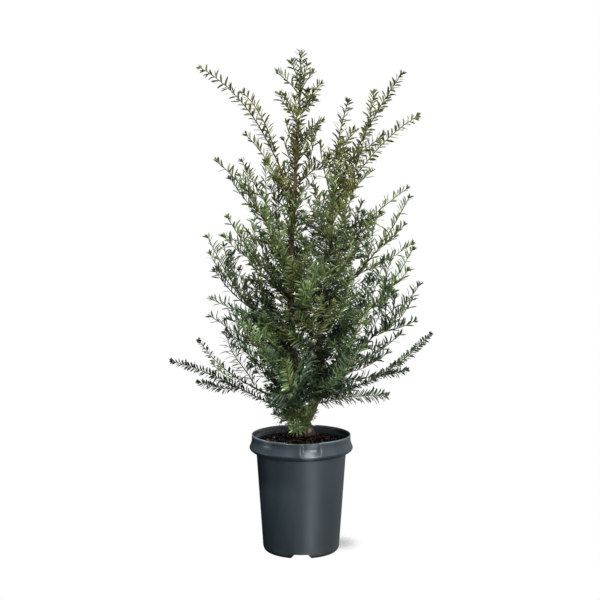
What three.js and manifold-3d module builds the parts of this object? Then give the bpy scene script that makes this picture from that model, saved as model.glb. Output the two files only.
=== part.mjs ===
// A potted English yew, about 1.1 m tall: a plastic nursery pot filled with compost, a trunk with
// one co-leader, main boughs, and masses of needled shoots that branch by a seeded rule.
// Millimetres, +Z up. The origin is on the floor, on the axis of the pot.

import * as THREE from 'three';
import { mergeVertices } from 'three/addons/utils/BufferGeometryUtils.js';
import Module from 'manifold-3d';

const wasm = await Module();
wasm.setup();

// ---------------------------------------------------------------- driving dimensions

const GAP = 0.3; // what touching pieces keep between them
const TIP_GAP = 0.5; // from the flat tip of a limb to the shoot that grows on from it
const POT = {
  height: 259.5,
  wall: 2.2,
  facets: 32,
  rimRadius: 109.8, // outside of the lip
  bandRadius: 115.2, // the widest place of the flared rim
  bandHeight: 230.5,
  neckHeight: 218.5, // where the rim turns in to the wall
  neckRadius: 99.6,
  heelRadius: 85.6, // foot of the straight wall
  heelHeight: 16,
  footOuter: 80.5,
  footInner: 73,
  plateHeight: 10, // underside of the raised base
  ledgeHeight: 246, // of the step inside the rim
};
const NOTCH = { count: 4, foot: 46, head: 30, height: 9.5, from: 60, length: 30 };
const DRAIN = { count: 4, radius: 5, at: 40, sides: 8 };
const SOIL = { level: 249, edgeLevel: 241, flatRadius: 66 }; // heaped towards the trunk

const TRUNK = {
  route: [[15, 44, 249.3], [13, 39, 266], [4, 30, 294], [-8, 17, 335], [-17, 0, 450], [-22, -2, 600],
    [-19, 2, 729], [-13, 0, 812], [-12, 0, 879], [-5, 0, 961], [-3, 0, 1010]],
  rootRadius: 10.5,
  tipRadius: 2,
  sides: 8,
  rings: 20,
  flare: 6, // what the root flare adds at the soil
  flareHeight: 16,
  lobes: 3,
  lobeDepth: 0.14,
};
const CO_LEADER = {
  route: [[9, 36, 276], [22, 29, 296], [33, 20, 330], [38, 11, 390], [45, 6, 500], [55, 6, 610],
    [67, 3, 690], [64, 2, 748], [74, 0, 790], [91, 0, 829]],
  rootRadius: 7.5,
  tipRadius: 2,
  sides: 6,
  rings: 16,
};
const BOUGH = { sides: 5, rings: 4, rootShare: 0.55, rootMost: 4.4, tipRadius: 1.7 };
const TAPER_POWER = 0.8; // under 1, a limb loses its thickness early
const FLARE_CROWDING = 1.5; // a flared limb has its rings closer together at its root
const HANDLE_SHARE = 0.38; // how far a shoot keeps the rise it sets out with, and ends with

// A mass of foliage: a stem and side twigs, each a toothed blade of needles on a three-sided rib.
const STEM = { rootRadius: 1.5, tipRadius: 0.9, pitch: 20, roll: 42, rollSpread: 18, crossTurn: 0.06 };
const TWIG = {
  rootRadius: 1.15,
  tipRadius: 0.7,
  pitch: 19,
  angle: 34, // from the stem, in degrees
  angleSpread: 9,
  share: 0.52, // of what is left of the stem above it
  shareSpread: 0.25,
  longest: 125,
  shortest: 24,
  lift: 14, // how far it curves up, in degrees
  liftSpread: 10,
  forward: 0.08, // how far it leans on along the stem, as a share of its length
  roll: 24,
  firstPlace: 0.6, // where the first one leaves the stem, in spaces between twigs
  placeSpread: 0.2,
  sparePlaces: 0.5, // the bare end above the last one
  reach: 0.62, // the share of the stem that they stand along
};
const NEEDLE = {
  length: 26,
  spread: 0.16,
  point: 0.9, // where its tip stands, from one pair's foot to the next
  rootShare: 0.7,
  rootReach: 0.25, // the share of a shoot over which its first needles lengthen
  tipShare: 0.6,
  tipReach: 0.2,
  depth: 0.5, // how far the blade's flat side lies below the stem's axis, in radii
  bud: 1,
};
const SEED = { first: 101, step: 37 };
const CLEAR = { needle: 2.6, stem: 2.2, within: 2.4, lowest: 263, twigFrom: 0.2 };
const STEPS = { limb: 24, stem: 12, twig: 3 }; // straight pieces that a curve's space is kept as

// Every shoot of the crown, under the limb that it leaves: the height there, its tip, how steeply
// it sets out and ends (degrees above level), the share of its way that is bare bough, and its side
// twigs. One with no wood leaves the limb as green foliage. A fork states the share of its bough
// that it leaves from in place of a height, and a shoot with neither grows on from its limb's tip.
// A crossed stem has needles on four sides, not two.
const SHOOTS = {
  trunk: [
    { name: 'left_1', height: 290, tip: [-289, 20, 419], rise: [20, 14], wood: 0.3, twigs: 1 },
    { name: 'left_2', height: 306, tip: [-218, -90, 479], rise: [30, 56], wood: 0.46, twigs: 1 },
    { name: 'left_3', height: 395, tip: [-194, -58, 526], rise: [38, 34], wood: 0.34, twigs: 3 },
    { name: 'left_4', height: 440, tip: [-205, 90, 552], rise: [46, 20], twigs: 4 },
    { name: 'left_5', height: 470, tip: [-203, -20, 695], rise: [30, 64], wood: 0.36, twigs: 3 },
    { name: 'left_6', height: 560, tip: [-158, -70, 740], rise: [44, 56], wood: 0.3, twigs: 4 },
    { name: 'left_7', height: 648, tip: [-180, -48, 858], rise: [50, 38], wood: 0.3, twigs: 3 },
    { name: 'left_8', height: 690, tip: [-132, 60, 865], rise: [48, 60], twigs: 3 },
    { name: 'left_9', height: 752, tip: [-119, -30, 916], rise: [62, 42], twigs: 1 },
    { name: 'left_10', height: 778, tip: [-224, 40, 1069], rise: [66, 30], wood: 0.26 },
    { name: 'inner_right', height: 806, tip: [121, 60, 930], rise: [42, 46], twigs: 2 },
    { name: 'front_1', height: 262, tip: [-16, -112, 292], rise: [24, 4], twigs: 2 },
    { name: 'front_2', height: 330, tip: [-30, -250, 452], rise: [18, 46], wood: 0.3, twigs: 3 },
    { name: 'front_3', height: 378, tip: [-122, -186, 520], rise: [32, 48], twigs: 4 },
    { name: 'front_5', height: 505, tip: [32, -182, 640], rise: [28, 52], wood: 0.24, twigs: 4 },
    { name: 'front_6', height: 600, tip: [-78, -146, 748], rise: [40, 52], twigs: 4 },
    { name: 'back_1', height: 320, tip: [22, 252, 420], rise: [16, 40], wood: 0.3, twigs: 5 },
    { name: 'back_2', height: 360, tip: [-138, 206, 486], rise: [30, 42], twigs: 4 },
    { name: 'back_4', height: 530, tip: [-52, 196, 668], rise: [30, 50], wood: 0.24, twigs: 4 },
    { name: 'back_6', height: 710, tip: [-30, 122, 862], rise: [42, 60], twigs: 3 },
    { name: 'leader_1', height: 905, tip: [44, 14, 950], rise: [46, 34] },
    { name: 'leader_2', height: 935, tip: [-34, -22, 1000], rise: [66, 56] },
    { name: 'leader_3', height: 960, tip: [42, -10, 1028], rise: [50, 44], twigs: 1 },
    { name: 'leader_top', tip: [0, 0, 1098], rise: [89, 89], twigs: 2, crossed: true },
  ],
  co_leader: [
    { name: 'right_1', height: 322, tip: [192, 60, 334], rise: [10, -6], twigs: 1 },
    { name: 'right_2', height: 336, tip: [284, -20, 484], rise: [12, 47], wood: 0.3, twigs: 1 },
    { name: 'right_3', height: 366, tip: [212, -80, 490], rise: [24, 40], twigs: 3 },
    { name: 'right_4', height: 392, tip: [263, 30, 588], rise: [30, 56], wood: 0.34, twigs: 3 },
    { name: 'right_5', height: 468, tip: [236, -90, 672], rise: [22, 60], wood: 0.34, twigs: 4 },
    { name: 'right_6', height: 556, tip: [230, -58, 781], rise: [34, 62], wood: 0.24, twigs: 3 },
    { name: 'right_7', height: 636, tip: [234, 42, 802], rise: [52, 36], twigs: 3 },
    { name: 'right_8', height: 716, tip: [161, 108, 843], rise: [58, 30], twigs: 3 },
    { name: 'right_9', height: 766, tip: [248, -50, 955], rise: [48, 30], twigs: 1 },
    { name: 'right_10', height: 798, tip: [100, -42, 986], rise: [96, 58], twigs: 1 },
    { name: 'right_top', tip: [221, 20, 1053], rise: [62, 54], twigs: 2 },
    { name: 'front_4', height: 352, tip: [122, -196, 476], rise: [22, 46], twigs: 4 },
    { name: 'front_7', height: 660, tip: [70, -116, 838], rise: [38, 62], twigs: 4 },
    { name: 'back_3', height: 412, tip: [146, 204, 530], rise: [26, 44], twigs: 4 },
    { name: 'back_5', height: 600, tip: [98, 168, 742], rise: [32, 54], twigs: 4 },
  ],
  bough_left_2: [
    { name: 'left_comb', share: 0.9, tip: [-160, -62, 486], rise: [66, 80] },
  ],
  bough_left_10: [
    { name: 'left_11', share: 0.9, tip: [-125, -8, 1009], rise: [74, 46] },
  ],
};

const LOOKS = {
  pot: { color: 0x3c444b, roughness: 0.42, metalness: 0 },
  soil: { color: 0x1f1712, roughness: 0.95, metalness: 0 },
  bark: { color: 0x6f4f3d, roughness: 0.9, metalness: 0 },
  foliage: { color: 0x3f5f33, roughness: 0.6, metalness: 0 },
};

// ---------------------------------------------------------------- solids

const UP = new THREE.Vector3(0, 0, 1);
const WELD = 1e-4;
const FINE_STEPS = 400;
const SLIVER = 0.02; // edges shorter than this are closed up after a cut or a join

/** A closed three.js geometry as a manifold solid. */
function asSolid(geometry) {
  const bare = geometry.clone();
  for (const name of Object.keys(bare.attributes)) {
    if (name !== 'position') bare.deleteAttribute(name);
  }
  const welded = mergeVertices(bare, WELD);
  const corners = welded.index.array;
  const kept = [];
  for (let i = 0; i < corners.length; i += 3) {
    const [a, b, c] = [corners[i], corners[i + 1], corners[i + 2]];
    if (a !== b && b !== c && c !== a) kept.push(a, b, c);
  }
  return new wasm.Manifold(new wasm.Mesh({
    numProp: 3,
    vertProperties: new Float32Array(welded.attributes.position.array),
    triVerts: new Uint32Array(kept),
  }));
}

/** A solid's largest skin, with its slivers closed: a loose scrap goes, a sealed hollow is filled. */
function largestSkin(solid) {
  const { vertProperties, triVerts } = solid.simplify(SLIVER).getMesh();
  const count = triVerts.length / 3;
  const corners = Array.from({ length: count }, (_, face) => [...triVerts.slice(3 * face, 3 * face + 3)]);
  const facesAt = new Map();
  corners.forEach((triangle, face) => triangle.forEach((corner, k) => {
    const edge = [corner, triangle[(k + 1) % 3]].sort((a, b) => a - b).join();
    facesAt.set(edge, [...(facesAt.get(edge) ?? []), face]);
  }));
  const neighbours = corners.map(() => []);
  for (const faces of facesAt.values()) for (const face of faces) neighbours[face].push(...faces);
  const seen = new Set();
  let largest = [];
  for (let first = 0; first < count; first++) {
    if (seen.has(first)) continue;
    seen.add(first);
    const skin = [first];
    for (const face of skin) {
      for (const next of neighbours[face].filter((other) => !seen.has(other))) {
        seen.add(next);
        skin.push(next);
      }
    }
    if (skin.length > largest.length) largest = skin;
  }
  const geometry = new THREE.BufferGeometry();
  geometry.setAttribute('position', new THREE.BufferAttribute(vertProperties, 3));
  geometry.setIndex(largest.flatMap((face) => corners[face]));
  return asSolid(geometry);
}

/** A solid's surface as a three.js geometry. */
function asGeometry(solid) {
  const { vertProperties, triVerts } = solid.getMesh();
  const geometry = new THREE.BufferGeometry();
  geometry.setAttribute('position', new THREE.BufferAttribute(new Float32Array(vertProperties), 3));
  geometry.setIndex(new THREE.BufferAttribute(new Uint32Array(triVerts), 1));
  geometry.computeVertexNormals();
  return geometry;
}

/** A closed skin over rings of points, with a flat root and, where there is one, a pointed tip. */
function loft(rings, apex = null) {
  const count = rings[0].length;
  const points = rings.flat();
  const faces = [];
  for (let ring = 0; ring + 1 < rings.length; ring++) {
    for (let k = 0; k < count; k++) {
      const next = (k + 1) % count;
      const [a, b] = [ring * count + k, ring * count + next];
      faces.push(a, b, b + count, a, b + count, a + count);
    }
  }
  for (let k = 1; k + 1 < count; k++) faces.push(0, k + 1, k);
  const last = (rings.length - 1) * count;
  if (apex) {
    points.push(apex);
    for (let k = 0; k < count; k++) faces.push(last + k, last + ((k + 1) % count), points.length - 1);
  } else {
    for (let k = 1; k + 1 < count; k++) faces.push(last, last + k, last + k + 1);
  }
  const geometry = new THREE.BufferGeometry().setFromPoints(points);
  geometry.setIndex(faces);
  return geometry;
}

/** A profile of [radius, height] pairs turned round the Z axis. */
function turned(profile, facets) {
  const points = profile.map(([radius, height]) => new THREE.Vector2(radius, height));
  return new THREE.LatheGeometry(points, facets).rotateX(Math.PI / 2);
}

/** A solid as a named mesh with its finish. */
function piece(name, solid, look) {
  const mesh = new THREE.Mesh(asGeometry(solid), new THREE.MeshStandardMaterial(look));
  mesh.name = name;
  return mesh;
}

// ---------------------------------------------------------------- pot and compost

/** Inside radius of the pot's straight wall at a height. */
function wallInside(height) {
  const share = (height - POT.heelHeight) / (POT.neckHeight - POT.heelHeight);
  return THREE.MathUtils.lerp(POT.heelRadius, POT.neckRadius, share) - POT.wall;
}

/** The pot: a tapered wall, a rolled rim with a ledge inside it, and a notched foot. */
function buildPot() {
  const floor = POT.plateHeight + POT.wall;
  const lip = POT.rimRadius - POT.wall;
  const shell = asSolid(turned([
    [0, POT.plateHeight],
    [POT.footInner - 2, POT.plateHeight],
    [POT.footInner, 0],
    [POT.footOuter, 0],
    [POT.heelRadius - 1.8, 3.5],
    [POT.heelRadius - 0.4, 8],
    [POT.heelRadius, POT.heelHeight],
    [POT.neckRadius, POT.neckHeight],
    [POT.bandRadius - 6, POT.neckHeight + 3.5],
    [POT.bandRadius - 1, POT.neckHeight + 8],
    [POT.bandRadius, POT.bandHeight],
    [POT.rimRadius + 2.5, POT.bandHeight + 7],
    [POT.rimRadius, POT.bandHeight + 15],
    [POT.rimRadius, POT.height - 0.8],
    [POT.rimRadius - 1.2, POT.height],
    [lip, POT.height - 1],
    [lip - 2.5, POT.ledgeHeight + 3],
    [wallInside(POT.ledgeHeight), POT.ledgeHeight],
    [wallInside(floor + 8), floor + 8],
    [wallInside(floor) - 5, floor],
    [0, floor],
  ], POT.facets));
  const cuts = [...footNotches(), ...drainHoles()];
  return cuts.reduce((pot, cut) => pot.subtract(cut), shell);
}

/** Trapezoid notches that let water out under the foot. */
function footNotches() {
  const below = -1;
  const outline = new THREE.Shape([
    new THREE.Vector2(-NOTCH.foot / 2, below),
    new THREE.Vector2(NOTCH.foot / 2, below),
    new THREE.Vector2(NOTCH.head / 2, NOTCH.height),
    new THREE.Vector2(-NOTCH.head / 2, NOTCH.height),
  ]);
  return Array.from({ length: NOTCH.count }, (_, k) => {
    const block = new THREE.ExtrudeGeometry(outline, { depth: NOTCH.length, bevelEnabled: false });
    block.rotateX(Math.PI / 2).translate(0, -NOTCH.from, 0);
    return asSolid(block.rotateZ((k * 2 * Math.PI) / NOTCH.count));
  });
}

/** Round holes through the raised base, between the notches. */
function drainHoles() {
  return Array.from({ length: DRAIN.count }, (_, k) => {
    const drill = new THREE.CylinderGeometry(DRAIN.radius, DRAIN.radius, POT.plateHeight, DRAIN.sides);
    drill.rotateX(Math.PI / 2).translate(DRAIN.at, 0, POT.plateHeight);
    return asSolid(drill.rotateZ(((k + 0.5) * 2 * Math.PI) / DRAIN.count));
  });
}

/** The compost that fills the pot, level where the trunk stands on it. */
function buildSoil() {
  const floor = POT.plateHeight + POT.wall + GAP;
  return asSolid(turned([
    [0, floor],
    [wallInside(floor) - 5.5, floor],
    [wallInside(floor + 8) - GAP, floor + 8],
    [wallInside(SOIL.edgeLevel) - GAP, SOIL.edgeLevel],
    [SOIL.flatRadius, SOIL.level],
    [0, SOIL.level],
  ], POT.facets));
}

// ---------------------------------------------------------------- limbs

/** A seeded stream of numbers from 0 to 1, the same on every run. */
function seeded(seed) {
  let state = seed >>> 0;
  return () => {
    state = (state + 0x6d2b79f5) >>> 0;
    let mixed = Math.imul(state ^ (state >>> 15), state | 1);
    mixed ^= mixed + Math.imul(mixed ^ (mixed >>> 7), mixed | 61);
    return ((mixed ^ (mixed >>> 14)) >>> 0) / 4294967296;
  };
}

/** A stretch of a longer curve, evenly spaced along it. */
class Stretch extends THREE.Curve {
  constructor(curve, from, to) {
    super();
    Object.assign(this, { curve, from, to });
  }

  getPoint(share) {
    return this.curve.getPointAt(THREE.MathUtils.lerp(this.from, this.to, share));
  }
}

/** A tapering woody limb along a curve, thickened and lobed at its root where it flares. */
class Limb {
  constructor(name, curve, { rootRadius, tipRadius, sides, rings, flare = 0, flareHeight = 1,
    lobes = 0, lobeDepth = 0 }) {
    Object.assign(this, { name, curve, rootRadius, tipRadius, sides, rings, flare, flareHeight });
    Object.assign(this, { lobes, lobeDepth, length: curve.getLength() });
  }

  radiusAt(share) {
    const taper = THREE.MathUtils.lerp(this.rootRadius, this.tipRadius, share ** TAPER_POWER);
    return taper + this.flare * Math.exp((-share * this.length) / this.flareHeight);
  }

  /** The share of the limb's way at which it reaches a height. */
  shareAtHeight(height) {
    let [low, high] = [0, 1];
    for (let halving = 0; halving < 40; halving++) {
      const middle = (low + high) / 2;
      if (this.curve.getPointAt(middle).z < height) low = middle;
      else high = middle;
    }
    return low;
  }

  /** The limb's solid, its radius grown by a margin. */
  solid(margin = 0) {
    const side = new THREE.Vector3(1, 0, 0);
    const rings = [];
    for (let ring = 0; ring <= this.rings; ring++) {
      const share = (ring / this.rings) ** (this.flare ? FLARE_CROWDING : 1);
      const along = ring === 0 && this.flare ? UP.clone() : this.curve.getTangentAt(share);
      side.addScaledVector(along, -side.dot(along)).normalize();
      const other = new THREE.Vector3().crossVectors(along, side);
      const lobe = this.lobeDepth * Math.exp((-share * this.length) / (2 * this.flareHeight));
      const centre = this.curve.getPointAt(share).addScaledVector(along, ring === 0 ? -margin : 0);
      rings.push(Array.from({ length: this.sides }, (_, k) => {
        const turn = (k * 2 * Math.PI) / this.sides;
        const radius = this.radiusAt(share) * (1 + lobe * Math.cos(this.lobes * turn)) + margin;
        return centre.clone()
          .addScaledVector(side, radius * Math.cos(turn))
          .addScaledVector(other, radius * Math.sin(turn));
      }));
    }
    if (margin) for (const point of rings.at(-1)) point.addScaledVector(this.curve.getTangentAt(1), margin);
    return asSolid(loft(rings));
  }
}

/** A smooth curve through places given as [x, y, z]. */
function through(route) {
  return new THREE.CatmullRomCurve3(route.map((place) => new THREE.Vector3(...place)));
}

/** The way of a shoot from its start to its tip, setting out and ending at the stated rises. */
function shootCurve(start, tip, [riseOut, riseIn]) {
  const outward = new THREE.Vector3(tip.x - start.x, tip.y - start.y, 0).normalize();
  const handle = start.distanceTo(tip) * HANDLE_SHARE;
  const heading = (rise) => outward.clone()
    .multiplyScalar(Math.cos(THREE.MathUtils.degToRad(rise)))
    .addScaledVector(UP, Math.sin(THREE.MathUtils.degToRad(rise)));
  return new THREE.CubicBezierCurve3(
    start,
    start.clone().addScaledVector(heading(riseOut), handle),
    tip.clone().addScaledVector(heading(riseIn), -handle),
    tip,
  );
}

// ---------------------------------------------------------------- foliage

/** What each piece of the plant takes up, as thick lines that other pieces keep clear of. */
class Space {
  constructor() {
    this.lines = [];
  }

  add(node, shoot, from, to, radius) {
    this.lines.push({ node, shoot, from, to, radius });
  }

  addCurve(node, shoot, curve, radiusAt, steps) {
    for (let step = 0; step < steps; step++) {
      const [a, b] = [step / steps, (step + 1) / steps];
      this.add(node, shoot, curve.getPointAt(a), curve.getPointAt(b), radiusAt(a));
    }
  }

  /** Whether a thick line keeps off the pot, every other node and its own node's other shoots. */
  isFree(node, shoot, from, to, radius) {
    if (Math.min(from.z, to.z) < CLEAR.lowest) return false;
    return this.lines.every((line) => {
      if (line.node === node && line.shoot === shoot) return true;
      const room = line.node === node ? CLEAR.within : radius + line.radius;
      return lineDistance(from, to, line.from, line.to) > room;
    });
  }
}

/** The least distance between two straight lines from a to b and from c to d. */
function lineDistance(a, b, c, d) {
  const [first, second, between] = [b.clone().sub(a), d.clone().sub(c), a.clone().sub(c)];
  const [ff, ss, fs] = [first.dot(first), second.dot(second), first.dot(second)];
  const [fb, sb] = [first.dot(between), second.dot(between)];
  const spread = ff * ss - fs * fs;
  const clamp = (value) => THREE.MathUtils.clamp(value, 0, 1);
  let along = spread > 1e-9 ? clamp((fs * sb - ss * fb) / spread) : 0;
  const across = clamp((fs * along + sb) / ss);
  along = clamp((fs * across - fb) / ff);
  return a.clone().addScaledVector(first, along).distanceTo(c.clone().addScaledVector(second, across));
}

/** A shoot's stem, with the level direction that its needles stand out to. */
class Shoot {
  constructor(curve, side, { rootRadius, tipRadius, pitch }) {
    Object.assign(this, { curve, side, rootRadius, tipRadius, pitch, length: curve.getLength() });
  }

  /** Its place, heading, side and upper direction at a share of its length. */
  frameAt(share) {
    const along = this.curve.getTangentAt(share);
    const side = this.side.clone().addScaledVector(along, -this.side.dot(along)).normalize();
    return { at: this.curve.getPointAt(share), along, side, over: side.clone().cross(along) };
  }

  radiusAt(share) {
    return THREE.MathUtils.lerp(this.rootRadius, this.tipRadius, share);
  }

  /** How many pairs of needles it carries. */
  pairs() {
    return Math.max(2, Math.round(this.length / this.pitch));
  }

  /** The shoot as one toothed blade on a keeled rib, leaving out the needles that don't fit. */
  blade(node, shoot, space, random) {
    const pairs = this.pairs();
    const rings = [];
    for (let pair = 0; pair < pairs; pair++) {
      const [base, point] = [pair / pairs, (pair + NEEDLE.point) / pairs];
      const growth = NEEDLE.length * needleShare((pair + 0.5) / pairs);
      const roots = [base, (pair + 0.5) / pairs, (pair + 1) / pairs]
        .map((share) => this.curve.getPointAt(share));
      const [frame, radius] = [this.frameAt(point), this.radiusAt(point)];
      const reach = [1, -1].map((sign) => {
        const length = growth * (1 + NEEDLE.spread * (2 * random() - 1));
        const tip = frame.at.clone().addScaledVector(frame.side, sign * length);
        if (!roots.every((root) => space.isFree(node, shoot, root, tip, CLEAR.needle))) return radius;
        for (const root of roots) space.add(node, shoot, root, tip, CLEAR.needle);
        return length;
      });
      rings.push(this.section(this.frameAt(base), this.radiusAt(base)), this.section(frame, radius, reach));
    }
    const end = this.frameAt(1);
    return asSolid(loft(rings, end.at.clone().addScaledVector(end.along, NEEDLE.bud)));
  }

  /** The corners of one section: two that reach out to its sides, and its keel above them. */
  section({ at, side, over }, radius, reach = [radius, radius]) {
    const flat = at.clone().addScaledVector(over, -radius * NEEDLE.depth);
    return [
      flat.clone().addScaledVector(side, reach[0]),
      flat.clone().addScaledVector(side, -reach[1]),
      at.clone().addScaledVector(over, radius),
    ];
  }
}

/** How long the needles are at a share of a shoot, short at its root and round its bud. */
function needleShare(share) {
  const root = THREE.MathUtils.lerp(NEEDLE.rootShare, 1, Math.min(1, share / NEEDLE.rootReach));
  const tip = THREE.MathUtils.lerp(NEEDLE.tipShare, 1, Math.min(1, (1 - share) / NEEDLE.tipReach));
  return Math.min(root, tip);
}

/** The side twigs of a stem, by the seeded rule: alternate, forward, shorter towards its tip. */
function sideTwigs(stem, count, random) {
  return Array.from({ length: count }, (_, k) => {
    const draws = [random(), random(), random(), random(), random()].map((draw) => 2 * draw - 1);
    const pairs = stem.pairs();
    const spaces = (k + TWIG.firstPlace + TWIG.placeSpread * draws[0]) / (count + TWIG.sparePlaces);
    const share = Math.max(1, Math.round(pairs * spaces * TWIG.reach)) / pairs;
    const hand = k % 2 ? 1 : -1;
    const { at, along, side, over } = stem.frameAt(share);
    const angle = THREE.MathUtils.degToRad(TWIG.angle + TWIG.angleSpread * draws[1]);
    const lift = THREE.MathUtils.degToRad(TWIG.lift + TWIG.liftSpread * draws[2]);
    const left = stem.length * (1 - share) * TWIG.share * (1 + TWIG.shareSpread * draws[3]);
    const length = THREE.MathUtils.clamp(left, TWIG.shortest, TWIG.longest);
    const outward = along.clone().multiplyScalar(Math.cos(angle))
      .addScaledVector(side, hand * Math.sin(angle));
    const middle = at.clone().addScaledVector(outward, length * 0.5);
    const tip = at.clone().addScaledVector(outward, length * Math.cos(lift))
      .addScaledVector(along, length * TWIG.forward)
      .addScaledVector(UP, length * Math.sin(lift));
    const flat = over.clone().cross(outward).normalize();
    const roll = THREE.MathUtils.degToRad(TWIG.roll * draws[4]);
    return new Shoot(new THREE.QuadraticBezierCurve3(at, middle, tip),
      flat.applyAxisAngle(outward, roll), TWIG);
  });
}

/** A stem along a curve, its flat rank of needles rolled to one hand by the seeded rule. */
function stemOf(curve, crossed, random) {
  const [hand, spread] = [random() < 0.5 ? -1 : 1, 2 * random() - 1];
  const outward = curve.getPointAt(1).sub(curve.getPointAt(0));
  const roll = THREE.MathUtils.degToRad(hand * (STEM.roll + STEM.rollSpread * spread));
  const side = crossed ? new THREE.Vector3(1, 0, 0) : outward.clone().cross(UP).normalize();
  return new Shoot(curve, crossed ? side : side.applyAxisAngle(outward.normalize(), roll), STEM);
}

/** One mass of foliage: its stem's blade or blades and its side twigs, fused into one solid. */
function buildMass(name, curve, { twigs = 0, crossed = false }, seed, space) {
  const random = seeded(seed);
  const stem = stemOf(curve, crossed, random);
  const kept = sideTwigs(stem, twigs, random).filter((twig, k) => {
    const [root, tip] = [twig.curve.getPointAt(CLEAR.twigFrom), twig.curve.getPointAt(1)];
    const free = space.isFree(name, k + 1, root, tip, CLEAR.stem);
    if (free) space.addCurve(name, k + 1, twig.curve, () => CLEAR.stem, STEPS.twig);
    return free;
  });
  const blades = [stem.blade(name, 0, space, random)];
  if (crossed) {
    const { along, over } = stem.frameAt(0);
    const across = new Shoot(stem.curve, over.applyAxisAngle(along, STEM.crossTurn), STEM);
    blades.push(across.blade(name, 0, space, random));
  }
  kept.forEach((twig, k) => blades.push(twig.blade(name, k + 1, space, random)));
  return largestSkin(blades.reduce((whole, blade) => whole.add(blade)));
}

// ---------------------------------------------------------------- the plant

/** The share of a shoot's way at which its stem is clear of the limb that it leaves. */
function clearOf(limb, share, curve, radius) {
  const axis = limb.curve.getTangentAt(share);
  for (let step = 0; step < FINE_STEPS; step++) {
    const along = step / FINE_STEPS;
    const place = curve.getPointAt(along);
    const slant = Math.abs(curve.getTangentAt(along).dot(axis));
    const offset = place.clone().sub(limb.curve.getPointAt(share));
    const distance = offset.addScaledVector(axis, -offset.dot(axis)).length();
    if (distance > limb.radiusAt(share) + GAP + radius * (1 + slant)) return along;
  }
  return 0;
}

/** The trunk, the co-leader and every bough and shoot, each as a named mesh. */
function buildPlant() {
  const trunk = new Limb('trunk', through(TRUNK.route), TRUNK);
  const coLeader = new Limb('co_leader', through(CO_LEADER.route), CO_LEADER);
  const limbs = new Map([[trunk.name, trunk], [coLeader.name, coLeader]]);
  const solids = new Map([
    [trunk.name, trunk.solid()],
    [coLeader.name, largestSkin(coLeader.solid().subtract(trunk.solid(GAP)))],
  ]);
  const shoots = Object.entries(SHOOTS).flatMap(([limb, rows]) => rows.map((row) => [limb, row]));
  const stems = [];
  for (const [limbName, shoot] of shoots) {
    const limb = limbs.get(limbName);
    const share = shoot.height ? limb.shareAtHeight(shoot.height) : shoot.share ?? 1;
    const start = limb.curve.getPointAt(share);
    if (share === 1) start.addScaledVector(limb.curve.getTangentAt(1), TIP_GAP);
    const curve = shootCurve(start, new THREE.Vector3(...shoot.tip), shoot.rise);
    let from = share === 1 ? 0 : clearOf(limb, share, curve, STEM.rootRadius);
    if (shoot.wood) {
      const bough = new Limb(`bough_${shoot.name}`, new Stretch(curve, 0, shoot.wood), {
        ...BOUGH,
        rootRadius: Math.min(BOUGH.rootMost, limb.radiusAt(share) * BOUGH.rootShare),
      });
      limbs.set(bough.name, bough);
      solids.set(bough.name, largestSkin(bough.solid().subtract(limb.solid(GAP))));
      from = shoot.wood + TIP_GAP / curve.getLength();
    }
    stems.push({ shoot, stretch: new Stretch(curve, from, 1) });
  }

  const space = new Space();
  for (const limb of limbs.values()) {
    space.addCurve(limb.name, 0, limb.curve, (share) => limb.radiusAt(share) + GAP, STEPS.limb);
  }
  for (const { shoot, stretch } of stems) {
    space.addCurve(`foliage_${shoot.name}`, 0, stretch, () => CLEAR.stem, STEPS.stem);
  }
  stems.forEach(({ shoot, stretch }, index) => {
    const name = `foliage_${shoot.name}`;
    solids.set(name, buildMass(name, stretch, shoot, SEED.first + SEED.step * index, space));
  });
  return [...solids].map(([name, solid]) => piece(name, solid,
    name.startsWith('foliage') ? LOOKS.foliage : LOOKS.bark));
}

const yew = new THREE.Group();
yew.name = 'potted_english_yew';
yew.add(piece('pot', buildPot(), LOOKS.pot));
yew.add(piece('soil', buildSoil(), LOOKS.soil));
yew.add(...buildPlant());

export default yew;
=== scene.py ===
"""The looks of a potted English yew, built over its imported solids.

The pot is turned from the source's outline, with its grips and notches. The trunk, the co-leader and the
boughs get skins with bark relief. Every mass of foliage is grown again from its limb by the source's
seeded rule, carried on to finer twigs, and set with single needles. Meshes are measured in millimetres
and turned into metres when they are made. Finishes, lights and the floor are in metres.
"""

import itertools
import logging
import math
from collections.abc import Iterable, Sequence
from dataclasses import dataclass, field, fields, replace
from enum import Enum
from typing import Any

import bmesh
import bpy
import numpy as np
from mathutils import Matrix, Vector
from numpy.typing import NDArray


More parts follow.
